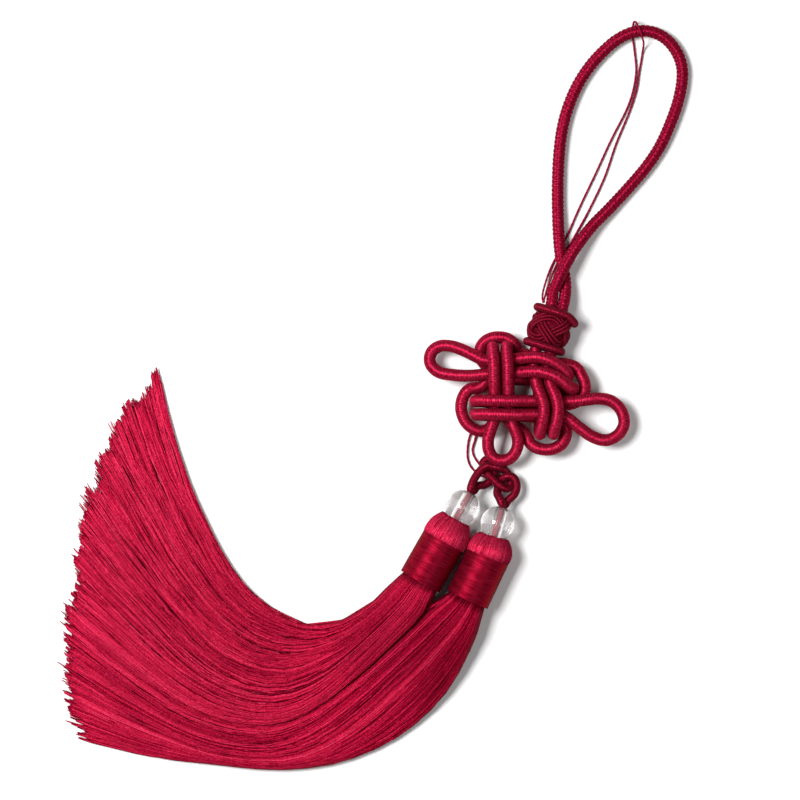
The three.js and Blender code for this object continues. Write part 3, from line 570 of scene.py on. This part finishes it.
def thread_paint(name, roughness, *stops):
    """Loose thread, each with its own tone, and a little unevenness along it."""
    paint = Paint(name, roughness=roughness, metallic=0.45, **THREAD_GLOSS)
    paint.shine(0.6, 0.0)
    tone = paint.node("ShaderNodeAttribute", attribute_name="tone").outputs["Fac"]
    spots = paint.noise(paint.node("ShaderNodeTexCoord").outputs["Object"], 2400.0)
    mixed = paint.math("ADD", tone, paint.math("MULTIPLY", paint.math("SUBTRACT", spots, 0.5), 0.9))
    paint.colour(paint.ramp(mixed, stops_of(*stops)))
    return paint


# name, colours from dark to light, pitch of the winding in mm, roughness, depth of the ridges in m, lustre
SATIN = wound_satin("satin cord", (112, 0, 22), (154, 18, 50), (196, 54, 90), 0.42, 0.54, 0.00003, 0.7)
DEEP = wound_satin("deep cord", (74, 0, 14), (104, 8, 30), (152, 38, 62), 0.34, 0.48, 0.00003)
BRAID = wound_satin("braided cord", (96, 0, 24), (134, 12, 44), (172, 36, 68), 0.5, 0.5, 0.00003)
THIN = wound_satin("thin string", (112, 6, 36), (140, 16, 52), (166, 32, 70), 0.5, 0.55, 0.00002)
BAND = wound_satin("wound band", (106, 2, 22), (138, 9, 36), (172, 32, 62), 0.36, 0.52, 0.00005, 0.72)

# name, roughness, and the colours at the tones from 0 to 1
THREAD = thread_paint("tassel thread", 0.57,
                      (0.0, (78, 0, 15)), (0.35, (136, 8, 38)), (0.7, (180, 32, 66)), (1.0, (208, 66, 98)))
# The threads inside the head: a darker copy of the tassel thread, painted shade
SHADED_INNER_THREAD = thread_paint("shaded inner thread", 0.7, (0.0, (70, 0, 14)), (1.0, (110, 4, 28)))


def glass_paint():
    """Crystal that is a little cloudy, with slow swirls inside."""
    paint = Paint("clear glass", transmission_weight=0.92, roughness=0.07, ior=1.48)
    swirl = paint.noise(paint.node("ShaderNodeTexCoord").outputs["Object"], 260.0, 3.0)
    paint.colour(paint.ramp(swirl, [(0.3, (0.8, 0.77, 0.77, 1.0)), (0.7, (0.97, 0.96, 0.96, 1.0))]))
    paint.bump(swirl, 0.00002)
    return paint


GLASS = glass_paint()


# Cords

def add_tube(name, points, radius, sides, row_length, paint, slot_name, node, closed=False, relief=None):
    line = Line(points, closed)
    count = max(2, round(line.length / row_length))
    rows = line.along(np.arange(count) / count) if closed else line.spaced(count)
    mesh = tube(name, rows, radius, sides, closed, relief)
    return add_piece(name, mesh, paint.material, slot_name, node), rows


def braid_relief(angle, way):
    """Columns of leaning stitches round the cord, neighbouring columns leaning opposite ways."""
    columns, stitch, lean, height = 6, 1.25, 0.8, 0.42
    turn = angle / (2 * math.pi) * columns
    column = np.floor(turn)
    across = turn - column - 0.5
    leaning = np.where(column % 2 == 0, 1.0, -1.0)
    phase = way / stitch + leaning * across * lean
    crown = np.abs(np.cos(math.pi * (phase - np.floor(phase) - 0.5))) ** 0.7
    shoulder = np.cos(math.pi * across * 0.96) ** 0.4
    return height * (crown * shoulder - 0.55)


def ply_relief(angle, way):
    """Two plies twisted round each other."""
    depth, twist = 0.025, 1.6
    return depth * np.cos(2 * angle + 2 * math.pi * way / twist)


WINDING = 0.42


def winding_relief(angle, way):
    """Ridges of the thread wound round the knot's cord, a little uneven."""
    depth = 0.012
    uneven = 0.35 * np.sin(way * 1.7 + 0.8 * np.sin(angle)) + 0.2 * np.sin(way * 4.1)
    return depth * (np.cos(2 * math.pi * way / WINDING + angle + uneven) - 1)


def tapered(length, radius, mouth=0.55, over=1.9):
    """A cord narrows at both ends, where it goes into a bead's bore."""
    def relief(angle, way):
        near = np.minimum(way, length - way)
        share = np.clip(near / over, 0, 1)
        return (mouth - radius) * (1 - share ** 0.7) + 0 * angle
    return relief


# How much closer to the collar its wraps are drawn than the solids leave them
TIGHT = 0.93

WRAP_FIXED = [(TOP_WRAP, WRAP_CORD + ROOM), (BOTTOM_WRAP, WRAP_CORD + ROOM)]
(KNOT_POINTS,) = settle([(knot_route(), KNOT_CORD, 1.9, 0.008)], WRAP_FIXED)
LEFT_POINTS, RIGHT_POINTS, LINK_STRING_POINTS = settle(
    [(LINK_LEFT_ROUTE, LINK_CORD, 1.3, 0.01), (LINK_RIGHT_ROUTE, LINK_CORD, 1.3, 0.01),
     (LINK_STRING_ROUTE, STRING, 0.9, 0.01)],
    [(KNOT_POINTS, KNOT_CORD + GAP)],
)
LOOP_POINTS, STRING_POINTS = settle(
    [(LOOP_ROUTE, LOOP_CORD, 3, 0.5), (STRING_ROUTE, STRING, 2, 0.5)],
    WRAP_FIXED,
)


def into_bead(tassel):
    """The point just inside a bead's bore where its link cord's ends meet."""
    inside = 0.2
    _, top, bead = head_points(tassel)
    axis = (bead - top) / np.linalg.norm(bead - top)
    return bead + axis * (BEAD / 2 - inside)


def add_free_cord(name, points, diameter, sides, row_length, paint, slot_name, node, relief):
    piece, rows = add_tube(name, points, diameter / 2, sides, row_length, paint, slot_name, node,
                           relief=relief)


def add_cords():
    add_free_cord("hanging loop", LOOP_POINTS, LOOP_CORD, 36, 0.26,
                  BRAID, "braided_cord", "hanging_loop", braid_relief)
    add_free_cord("loop string", STRING_POINTS, STRING, 10, 0.4,
                  THIN, "thin_string", "loop_string", ply_relief)
    add_tube("knot cord", KNOT_POINTS, KNOT_CORD / 2, 14, WINDING / 2.5,
             SATIN, "satin_cord", "knot_cord", relief=winding_relief)
    add_tube("link string", LINK_STRING_POINTS, STRING / 2, 10, 0.4,
             THIN, "thin_string", "link_string", relief=ply_relief)
    for tassel, points in zip(TASSELS, (LEFT_POINTS, RIGHT_POINTS)):
        side, ends = tassel["side"], into_bead(tassel)
        reaching = np.vstack([ends, points, ends])
        relief = tapered(Line(reaching).length, LINK_CORD / 2)
        add_tube(f"link cord {side}", reaching, LINK_CORD / 2, 16, 0.25,
                 DEEP, "deep_cord", f"link_cord_{side}", relief=relief)
    middle = np.array(COLLAR["middle"])
    for where, route in (("top", TOP_WRAP), ("bottom", BOTTOM_WRAP)):
        drawn = middle + (np.array(route) - middle) * TIGHT
        add_tube(f"collar {where} wrap", drawn, WRAP_CORD / 2, 16, 0.4,
                 DEEP, "deep_cord", f"collar_{where}_wrap", True)


# The collar's button: a barrel under passes of three strands each, woven round it

BUTTON = {"bights": 4, "leads": 3, "strand": 1.0, "spread": 1.0, "sink": 0.25, "weave": 0.5,
          "reach": 0.88, "half": 4.3, "waist": 0.5, "core_sink": 0.75, "rim": 1.05}


def on_button(angle, rise, lift):
    """A place on the barrel: the turn round its axis, the share of its half length, a height over it."""
    waist = np.sqrt(1 - BUTTON["waist"] * rise ** 2)
    return np.stack(on_collar((COLLAR["across"] * waist + lift) * np.cos(angle), BUTTON["half"] * rise,
                              (COLLAR["deep"] * waist + lift) * np.sin(angle)), -1)


def barrel_mesh():
    rows, columns = 20, 48
    angle, rise = np.meshgrid(2 * math.pi * np.arange(columns) / columns, np.linspace(-1, 1, rows))
    vertices = on_button(angle, rise, -BUTTON["core_sink"]).reshape(-1, 3)
    quads, places = grid_faces(rows, columns)
    quads = quads[:, ::-1]
    uvs = places[:, ::-1] * np.array([1 / columns, 2 * COLLAR["half"] / rows])
    ends = [on_button(np.zeros(1), np.full(1, way), -COLLAR["across"]) for way in (-1.0, 1.0)]
    fans = cap_faces(rows, columns)[:, ::-1]
    return build_mesh("button core", np.vstack([vertices, *ends]), [quads, fans],
                      [uvs, np.zeros((2 * columns, 3, 2))])


def add_button():
    add_piece("button core", barrel_mesh(), DEEP.material, "deep_cord", "collar_button")
    t = np.linspace(0, 2 * math.pi * BUTTON["leads"], 240, endpoint=False)
    swing = BUTTON["bights"] / BUTTON["leads"]
    for offset in (-1, 0, 1):
        rise = BUTTON["reach"] * np.cos(swing * t)
        speed_along = -BUTTON["reach"] * BUTTON["half"] * swing * np.sin(swing * t)
        speed_round = COLLAR["across"]
        tilt = np.hypot(speed_along, speed_round)
        shift = offset * BUTTON["spread"]
        angle = t - shift * speed_along / tilt / COLLAR["across"]
        rise = rise + shift * speed_round / tilt / BUTTON["half"]
        lift = BUTTON["weave"] * np.sin(2 * swing * t) - BUTTON["sink"]
        points = on_button(angle, np.clip(rise, -BUTTON["rim"], BUTTON["rim"]), lift)
        add_tube(f"button strand {offset + 2}", points, BUTTON["strand"] / 2, 12, 0.35,
                 DEEP, "deep_cord", "collar_button", True)


# Tassels. Each one's threads run between three given lines: its inner edge, its middle and its outer
# edge. Its cut says how far their ends reach past these lines, from the inner edge to the outer one.

PARTING = [
    [20.6, -23.6], [12.4, -31.6], [5.3, -38.2], [-1.9, -43.9], [-9.0, -48.6], [-16.1, -51.9], [-23.3, -53.4],
    [-30.4, -53.0], [-37.6, -51.4], [-44.7, -48.6], [-51.9, -44.6], [-59.0, -39.4], [-66.1, -33.8],
    [-73.3, -28.0], [-79.2, -23.0],
]
TASSELS = [
    {
        "side": "left", "meets": "to", "foot": [21.1, -12.3], "top": [27.9, -0.4], "bead": [33.1, 8.8],
        "cut": [1.5, 8.0, 7.0, 3.5, -0.5, 1.0, 2.5], "tone": 0.52,
        "from": [[15.7, -9.2], [6.7, -18.8], [-2.3, -23.9], [-11.3, -24.9], [-19.5, -21.4], [-28.5, -14.2],
                 [-35.1, -4.9], [-41.7, 8.2], [-46.6, 20.5], [-50.7, 34.4], [-54.0, 49.2]],
        "middle": [[21.1, -12.3], [16.2, -18.6], [12.4, -22.6], [5.3, -29.6], [-1.9, -36.0],
                   [-9.0, -41.0], [-16.1, -44.0], [-23.3, -44.6], [-30.4, -43.0], [-37.6, -39.8],
                   [-44.7, -34.8], [-51.9, -28.2], [-59.0, -20.8], [-66.1, -13.2], [-75.5, -3.0]],
        "to": [[26.5, -15.4], *PARTING],
    },
    {
        "side": "right", "meets": "from", "foot": [34.5, -17.4], "top": [40.5, -4.7], "bead": [43.2, 4.2],
        "cut": [2.5, 3.0, 3.0, 3.5, 3.5, 3.0, 2.0], "tone": 0.43,
        "from": [[28.9, -14.7], *PARTING],
        "middle": [[34.5, -17.4], [31.2, -22.8], [26.7, -28.0], [19.6, -35.4], [12.4, -42.4],
                   [5.3, -48.8], [-1.9, -54.6], [-9.0, -59.0], [-16.1, -61.6], [-23.3, -62.4],
                   [-30.4, -62.0], [-37.6, -60.8], [-44.7, -58.6], [-51.9, -55.8], [-59.0, -52.4],
                   [-66.1, -48.8], [-78.6, -42.0]],
        "to": [[40.1, -20.1], [35.3, -32.0], [31.0, -40.6], [26.7, -46.7], [19.0, -54.0], [10.7, -59.4],
               [-1.6, -64.3], [-13.9, -66.3], [-23.6, -66.4], [-38.4, -65.0], [-54.7, -63.2], [-75.3, -58.5]],
    },
]
PILE = {"settled": 0.32, "near": 7.4, "far": 3.2, "edge": 0.35}

# The threads' width in mm and the clumps that they lie in. The rest are shares: how even the clumps are, how
# ragged the cut is, how many threads stray, how far clumps narrow and part, how far clumps and threads
# wander, how far the two tassels lap over each other, and how the roots gather in the head.
FAN = {
    "width": 0.34, "clumps": 46, "even": 0.6, "ragged": 0.05, "ragged_clumps": 0.03, "stray": 0.03,
    "stray_reach": 0.02, "squeeze": 0.16, "parting": 0.24, "wander": 0.01, "own_wander": 0.006,
    "meeting": 0.07, "gather": 0.14,
}
# Tones of the threads: a random spread for each thread and for each clump, and painted shade that darkens
# each thread towards the head
TONE = {"spread": 0.17, "clump": 0.1, "painted_root_shade": 0.14}
LOWEST = 0.22            # height in mm of the lowest threads
PAST_END = 130           # mm in a whole share past the lines' end
WAVES = (1.3, 2.9, 5.3)  # waves along a thread

# name, threads, spans along each thread, meshes, and the lowest and highest place in the bundle
FAN_LAYERS = [("top", 2100, 20, 2, 0.78, 1.0), ("under", 800, 14, 1, 0.05, 0.8)]


def smoothstep(t):
    t = np.clip(t, 0, 1)
    return t * t * (3 - 2 * t)


def pile_heights(across, share):
    """Bottom and top of the bundle, across it from -1 to 1 and at a share of its length."""
    round_ = np.sqrt(np.clip(1 - across ** 2, 0, 1))
    fallen = smoothstep(share / PILE["settled"])
    low = HEAD_RADIUS * (1 - round_) * (1 - fallen)
    pile = PILE["near"] + (PILE["far"] - PILE["near"]) * share
    pile = pile * (PILE["edge"] + (1 - PILE["edge"]) * round_)
    high = HEAD_RADIUS * (1 + round_) * (1 - fallen) + pile * fallen
    return low, high


def slow_waves(rng, groups, share):
    """A smooth wander from -1 to 1 along the share, one for each group."""
    total = np.zeros((groups, share.shape[-1]))
    for waves in WAVES:
        phase = rng.uniform(0, 2 * math.pi, (groups, 1))
        total += np.sin(2 * math.pi * share[None, :] * waves + phase) / len(WAVES)
    return total


def fan_threads(tassel, rng, count, spans, lowest, highest):
    """Centres and tones of a fan's threads, for each thread at each station along it."""
    guides = [Line([[*row, 0.0] for row in tassel[key]]) for key in ("from", "middle", "to")]
    evenly = np.linspace(0.1, 0.75, spans - 6)
    stations = np.concatenate([[0, 0.02, 0.06], evenly, [0.83, 0.91, 0.996, 1]])
    clumps = FAN["clumps"]
    borders = np.concatenate([[0], np.sort(rng.uniform(0.02, 0.98, clumps - 1)), [1]])
    even = np.linspace(0, 1, clumps + 1)
    borders = FAN["even"] * even + (1 - FAN["even"]) * borders
    place = rng.uniform(0.004, 0.996, count)
    clump = np.clip(np.searchsorted(borders, place) - 1, 0, clumps - 1)
    middle = (borders[clump] + borders[clump + 1]) / 2
    half = (borders[clump + 1] - borders[clump]) / 2
    inside = (place - middle) / half
    reach = 1 - FAN["ragged"] * rng.random(count) ** 2 - FAN["ragged_clumps"] * rng.random(clumps)[clump]
    stray = rng.random(count) < FAN["stray"]
    reach = np.where(stray, reach + FAN["stray_reach"] * rng.random(count), reach)
    share = reach[:, None] * stations[None, :]
    parted = np.clip(slow_waves(rng, clumps, stations) * 1.6, 0, 1)[clump]
    wander = slow_waves(rng, clumps, stations)[clump] * FAN["wander"]
    own = slow_waves(rng, count, stations) * FAN["own_wander"]
    grows = smoothstep(stations / 0.25)[None, :]
    squeeze = 1 - FAN["squeeze"] * parted * grows
    where = middle[:, None] + half[:, None] * inside[:, None] * squeeze + (wander + own) * grows
    where = np.clip(where, 0.003, 0.997)
    meeting = FAN["meeting"] * smoothstep(stations / FAN["meeting"])[None, :]
    where = where * (1 + meeting) - meeting * (tassel["meets"] == "from")
    across = [(1 - where) * (1 - 2 * where), 4 * where * (1 - where), where * (2 * where - 1)]

    def between_guides(at):
        return sum(weight[..., None] * guide.along(np.clip(at, 0, 1).ravel()).reshape(*share.shape, 3)
                   for weight, guide in zip(across, guides))

    onward = between_guides(share + 0.01) - between_guides(np.minimum(share, 1) - 0.01)
    onward /= np.linalg.norm(onward, axis=-1)[..., None]
    overrun = np.clip(share - 1, 0, None)[..., None] * PAST_END
    cut = np.interp(where, np.linspace(0, 1, len(tassel["cut"])), tassel["cut"]) * share ** 3
    centre = between_guides(share) + onward * (cut[..., None] + overrun)
    depth = rng.uniform(lowest, highest, count)
    low, high = pile_heights(2 * where - 1, share)
    aside = np.abs(inside[:, None])
    ridge = 1 - FAN["parting"] * parted * grows * aside ** 2.5 - 0.06 * aside ** 4
    height = low + (high - low) * (0.05 + 0.95 * depth[:, None]) * ridge
    centre[..., 2] = np.maximum(height, LOWEST)
    rooted = (1 - smoothstep(stations / 0.05))[None, :, None]
    axis_point = np.array([*tassel["foot"], HEAD_RADIUS])
    centre = centre + (axis_point - centre) * rooted * FAN["gather"]
    tone = tassel["tone"] + TONE["spread"] * rng.standard_normal(count)
    tone = tone + TONE["clump"] * (rng.random(clumps)[clump] - 0.5)
    # Painted shade: each thread is darker towards the head, fading out by four fifths of its length
    painted_root_shade = -TONE["painted_root_shade"] * (1 - smoothstep(stations / 0.8))
    return centre, np.clip(tone[:, None] + painted_root_shade[None, :], 0, 1)


def strand_mesh(name, centre, tone, width, outward=(0.0, 0.0, 1.0)):
    """Three-sided threads with closed ends, their ridges facing outward. centre and tone are for each thread
    and each station along it."""
    count, stations = centre.shape[:2]
    onward = np.gradient(centre, axis=1)
    onward /= np.linalg.norm(onward, axis=-1)[..., None]
    side = np.cross(onward, outward)
    side /= np.linalg.norm(side, axis=-1)[..., None]
    up = np.cross(side, onward)
    half = np.full((count, stations, 1), width / 2)
    half[:, -1] *= 0.7
    corners = np.stack([centre - side * half - up * half * 0.5, centre + side * half - up * half * 0.5,
                        centre + up * half], 2)
    base = (np.arange(count) * stations * 3)[:, None, None]
    station = np.arange(stations - 1)[None, :, None]
    k = np.arange(3)[None, None, :]
    start = base + station * 3
    quads = np.stack([start + k, start + (k + 1) % 3, start + 3 + (k + 1) % 3, start + 3 + k], -1)
    around, along = k + 0 * start, station + 0 * (start + k)
    places = np.stack([np.stack([around, around + 1, around + 1, around], -1) / 3,
                       np.stack([along, along, along + 1, along + 1], -1)], -1)
    first, last = base[:, 0, 0], base[:, 0, 0] + (stations - 1) * 3
    caps = np.vstack([np.stack([first + 2, first + 1, first], 1), np.stack([last, last + 1, last + 2], 1)])
    return build_mesh(name, corners.reshape(-1, 3), [quads.reshape(-1, 4), caps],
                      [places.astype(float), np.zeros((len(caps), 3, 2))], np.repeat(tone.ravel(), 3))


def axis_frame(from_point, towards):
    axis = np.asarray(towards, float) - np.asarray(from_point, float)
    axis /= np.linalg.norm(axis)
    side = np.cross(axis, (0.0, 0.0, 1.0))
    side /= np.linalg.norm(side)
    return axis, side, np.cross(side, axis)


def turned(name, profile, from_point, towards, segments, relief=None):
    """A closed surface of revolution. Each row of the profile is a radius and a way along the axis, and the
    profile starts and ends on the axis or closes on itself."""
    profile = np.asarray(profile, float)
    axis, side, up = axis_frame(from_point, towards)
    angle = 2 * math.pi * np.arange(segments) / segments
    radius = profile[:, 0][:, None] + np.zeros((1, segments))
    if relief is not None:
        raised = relief(angle[None, :], profile[:, 1][:, None], profile[:, 0][:, None])
        radius = np.maximum(radius + raised, 0)
    circle = np.cos(angle)[None, :, None] * side + np.sin(angle)[None, :, None] * up
    rings = np.asarray(from_point, float) + profile[:, 1][:, None, None] * axis + radius[..., None] * circle
    closed = bool(np.allclose(profile[0], profile[-1]))
    rows = len(profile) - 1 if closed else len(profile)
    vertices = rings[:rows].reshape(-1, 3)
    quads, places = grid_faces(rows, segments, closed)
    way = ways_along(profile)
    uvs = np.stack([places[..., 0] / segments, way[places[..., 1]]], -1)
    return build_mesh(name, vertices, [quads], [uvs])


def add_turned(name, profile, ends, segments, paint, slot_name, node, relief=None):
    mesh = turned(name, profile[::-1], *ends, segments, relief)
    add_piece(name, mesh, paint.material, slot_name, node)


def head_points(tassel):
    return tuple(np.array([*tassel[key], HEAD_RADIUS]) for key in ("foot", "top", "bead"))


def add_bead(tassel):
    _, top, bead = head_points(tassel)
    side, radius, mouth = tassel["side"], BEAD / 2, math.asin(BORE / BEAD)
    angles = np.linspace(mouth, math.pi - mouth, 40)
    shell = [[radius * math.sin(a), radius * math.cos(a)] for a in angles]
    bore = [[BORE / 2, y] for y in np.linspace(shell[-1][1], shell[0][1], 8)[1:]]
    profile = [*shell, *bore][::-1]
    add_turned(f"glass bead {side}", profile, (bead, 2 * bead - top), 64, GLASS, "crystal", f"bead_{side}")


BAND_PITCH = 0.4


def add_band(tassel):
    side, (foot, top, _) = tassel["side"], head_points(tassel)
    inner = HEAD_RADIUS - BAND_THICKNESS
    turns = round(BAND_LENGTH / BAND_PITCH)
    ways = np.linspace(0, BAND_LENGTH, turns * 4 + 1)
    outer = [[HEAD_RADIUS + 0.1, way] for way in ways]
    profile = [[inner, 0.0], *outer, [inner, BAND_LENGTH], [inner, 0.0]]

    def wound(angle, way, radius):
        turn = way / BAND_PITCH + angle / (2 * math.pi)
        slack = 0.008 * np.sin(turn * 2.3 + 1.3 * np.sin(angle))
        ridge = 0.03 * np.cos(2 * math.pi * turn)
        return np.where(radius > inner + 0.1, ridge + slack, 0)

    add_turned(f"wound band {side}", profile, (foot, top), 72, BAND, "wound_band", f"band_{side}", wound)


CROWN_THREADS = 540
CROWN_WIDTH = 0.26
CROWN_TONE = 0.61


def crown_profile(reach):
    """From inside the band, over the shoulder and into the cup round the bead."""
    cup = BEAD / 2 + GAP
    rim_angle = math.pi * 0.8
    rim_radius, rim_along = cup * math.sin(rim_angle), reach + cup * math.cos(rim_angle)
    return [[HEAD_RADIUS - 0.6, -1.9], [HEAD_RADIUS - 0.1, -0.8], [HEAD_RADIUS + 0.15, 0.2],
            [HEAD_RADIUS + 0.15, 1.5], [HEAD_RADIUS - 0.25, rim_along * 0.6],
            [HEAD_RADIUS - 1.3, rim_along * 0.92], [rim_radius + 1.1, rim_along + 0.5],
            [rim_radius + 0.2, rim_along + 0.3]]


def add_head(tassel, rng):
    """The head under its band, the folded threads of its crown and the stem through the bead."""
    side, node = tassel["side"], f"tassel_{tassel['side']}"
    foot, top, bead = head_points(tassel)
    axis, across, up = axis_frame(top, bead)
    reach = float(np.linalg.norm(bead - top))
    rows = crown_profile(reach)
    line = Line([[r, way, 0.0] for r, way in rows])
    cup = BEAD / 2 + GAP
    seat = [[cup * math.sin(a), reach + cup * math.cos(a)] for a in np.linspace(math.pi * 0.8, math.pi, 6)]
    inner = [[r - 0.25, way - 0.08] for r, way, _ in line.spaced(14) if way > 0.2]
    core = [[0.0, 0.1], [inner[0][0], 0.1], *inner, *seat]
    core[-1][0] = 0.0
    add_turned(f"crown core {side}", core, (top, bead), 48, THREAD, "tassel_thread", node)
    stem_half = BEAD / 2 + 0.9
    stem = [[0.0, reach - stem_half], [STEM / 2, reach - stem_half], [STEM / 2, reach + BEAD / 2 - 0.1],
            [0.0, reach + BEAD / 2 - 0.1]]
    add_turned(f"stem {side}", stem, (top, bead), 20, THREAD, "tassel_thread", node)
    stations = 10
    places = np.arange(CROWN_THREADS) + rng.uniform(-0.5, 0.5, CROWN_THREADS)
    turn = 2 * math.pi * places / CROWN_THREADS
    starts = rng.uniform(0.0, 0.07, CROWN_THREADS)
    starts = starts + 0.05 * (1 + np.sin(turn * 2 + 1)) * rng.random()
    share = starts[:, None] + (1 - starts[:, None]) * np.linspace(0, 1, stations)[None, :]
    spots = line.along(share.ravel()).reshape(CROWN_THREADS, stations, 3)
    sway = turn[:, None] + 0.04 * np.sin(3 * share + rng.uniform(0, 6.3, (CROWN_THREADS, 1)))
    lift = rng.uniform(-0.1, 0.05, (CROWN_THREADS, 1))
    radius = spots[..., 0] + lift
    outward = np.cos(sway)[..., None] * across + np.sin(sway)[..., None] * up
    centre = top + spots[..., 1][..., None] * axis + radius[..., None] * outward
    tone = CROWN_TONE + 0.12 * rng.standard_normal((CROWN_THREADS, 1)) + np.zeros(stations)
    threads = strand_mesh(f"crown threads {side}", centre, np.clip(tone, 0, 1), CROWN_WIDTH, outward)
    add_piece(f"crown threads {side}", threads, THREAD.material, "tassel_thread", node)
    # The neck inside the band wears the darker copy of the thread: painted shade
    core_radius = HEAD_RADIUS - 0.9
    neck = [[0.0, -1.8], [core_radius, -1.8], [core_radius, BAND_LENGTH + 0.4], [0.0, BAND_LENGTH + 0.4]]
    add_turned(f"neck {side}", neck, (foot, top), 40, SHADED_INNER_THREAD, "tassel_thread", node)


def add_fan(tassel, rng):
    side, node = tassel["side"], f"tassel_{tassel['side']}"
    for layer, count, spans, meshes, lowest, highest in FAN_LAYERS:
        centre, tone = fan_threads(tassel, rng, count, spans, lowest, highest)
        for number in range(meshes):
            name = f"{layer} threads {side} {number + 1}"
            mesh = strand_mesh(name, centre[number::meshes], tone[number::meshes], FAN["width"])
            add_piece(name, mesh, THREAD.material, "tassel_thread", node)


# Floor and light

FLOOR_GREY = 0.74
SKY_LIGHT = 0.15
LIT_POINT = (0.01, 0.02, 0.0)

# name, place and size in m, power in W
LAMPS = [("key", (-0.36, 0.16, 0.77), 0.3, 12.5), ("fill", (0.3, -0.1, 0.8), 0.3, 1.8)]


def make_stage():
    bpy.ops.mesh.primitive_plane_add(size=4, location=(0, 0, -0.0002))
    floor = bpy.context.object
    floor.name = "floor"
    paint = Paint("pale floor", roughness=0.9, base_color=(FLOOR_GREY, FLOOR_GREY, FLOOR_GREY, 1.0))
    paint.bump(paint.noise(paint.node("ShaderNodeTexCoord").outputs["Object"], 60.0), 0.00005)
    floor.data.materials.append(paint.material)
    world = bpy.data.worlds.new("studio")
    world.use_nodes = True
    background = world.node_tree.nodes["Background"]
    background.inputs["Color"].default_value = (1, 1, 1, 1)
    background.inputs["Strength"].default_value = SKY_LIGHT
    bpy.context.scene.world = world
    for name, place, size, power in LAMPS:
        data = bpy.data.lights.new(name, "AREA")
        data.size = size
        data.energy = power
        lamp = bpy.data.objects.new(name, data)
        lamp.location = place
        direction = Vector(LIT_POINT) - Vector(place)
        lamp.rotation_euler = direction.to_track_quat("-Z", "Y").to_euler()
        bpy.context.scene.collection.objects.link(lamp)
    bpy.context.scene.view_settings.view_transform = "Standard"


make_camera()
make_stage()
add_cords()
add_button()
for number, tassel in enumerate(TASSELS):
    rng = np.random.default_rng(11 + number)
    add_bead(tassel)
    add_band(tassel)
    add_head(tassel, rng)
    add_fan(tassel, rng)
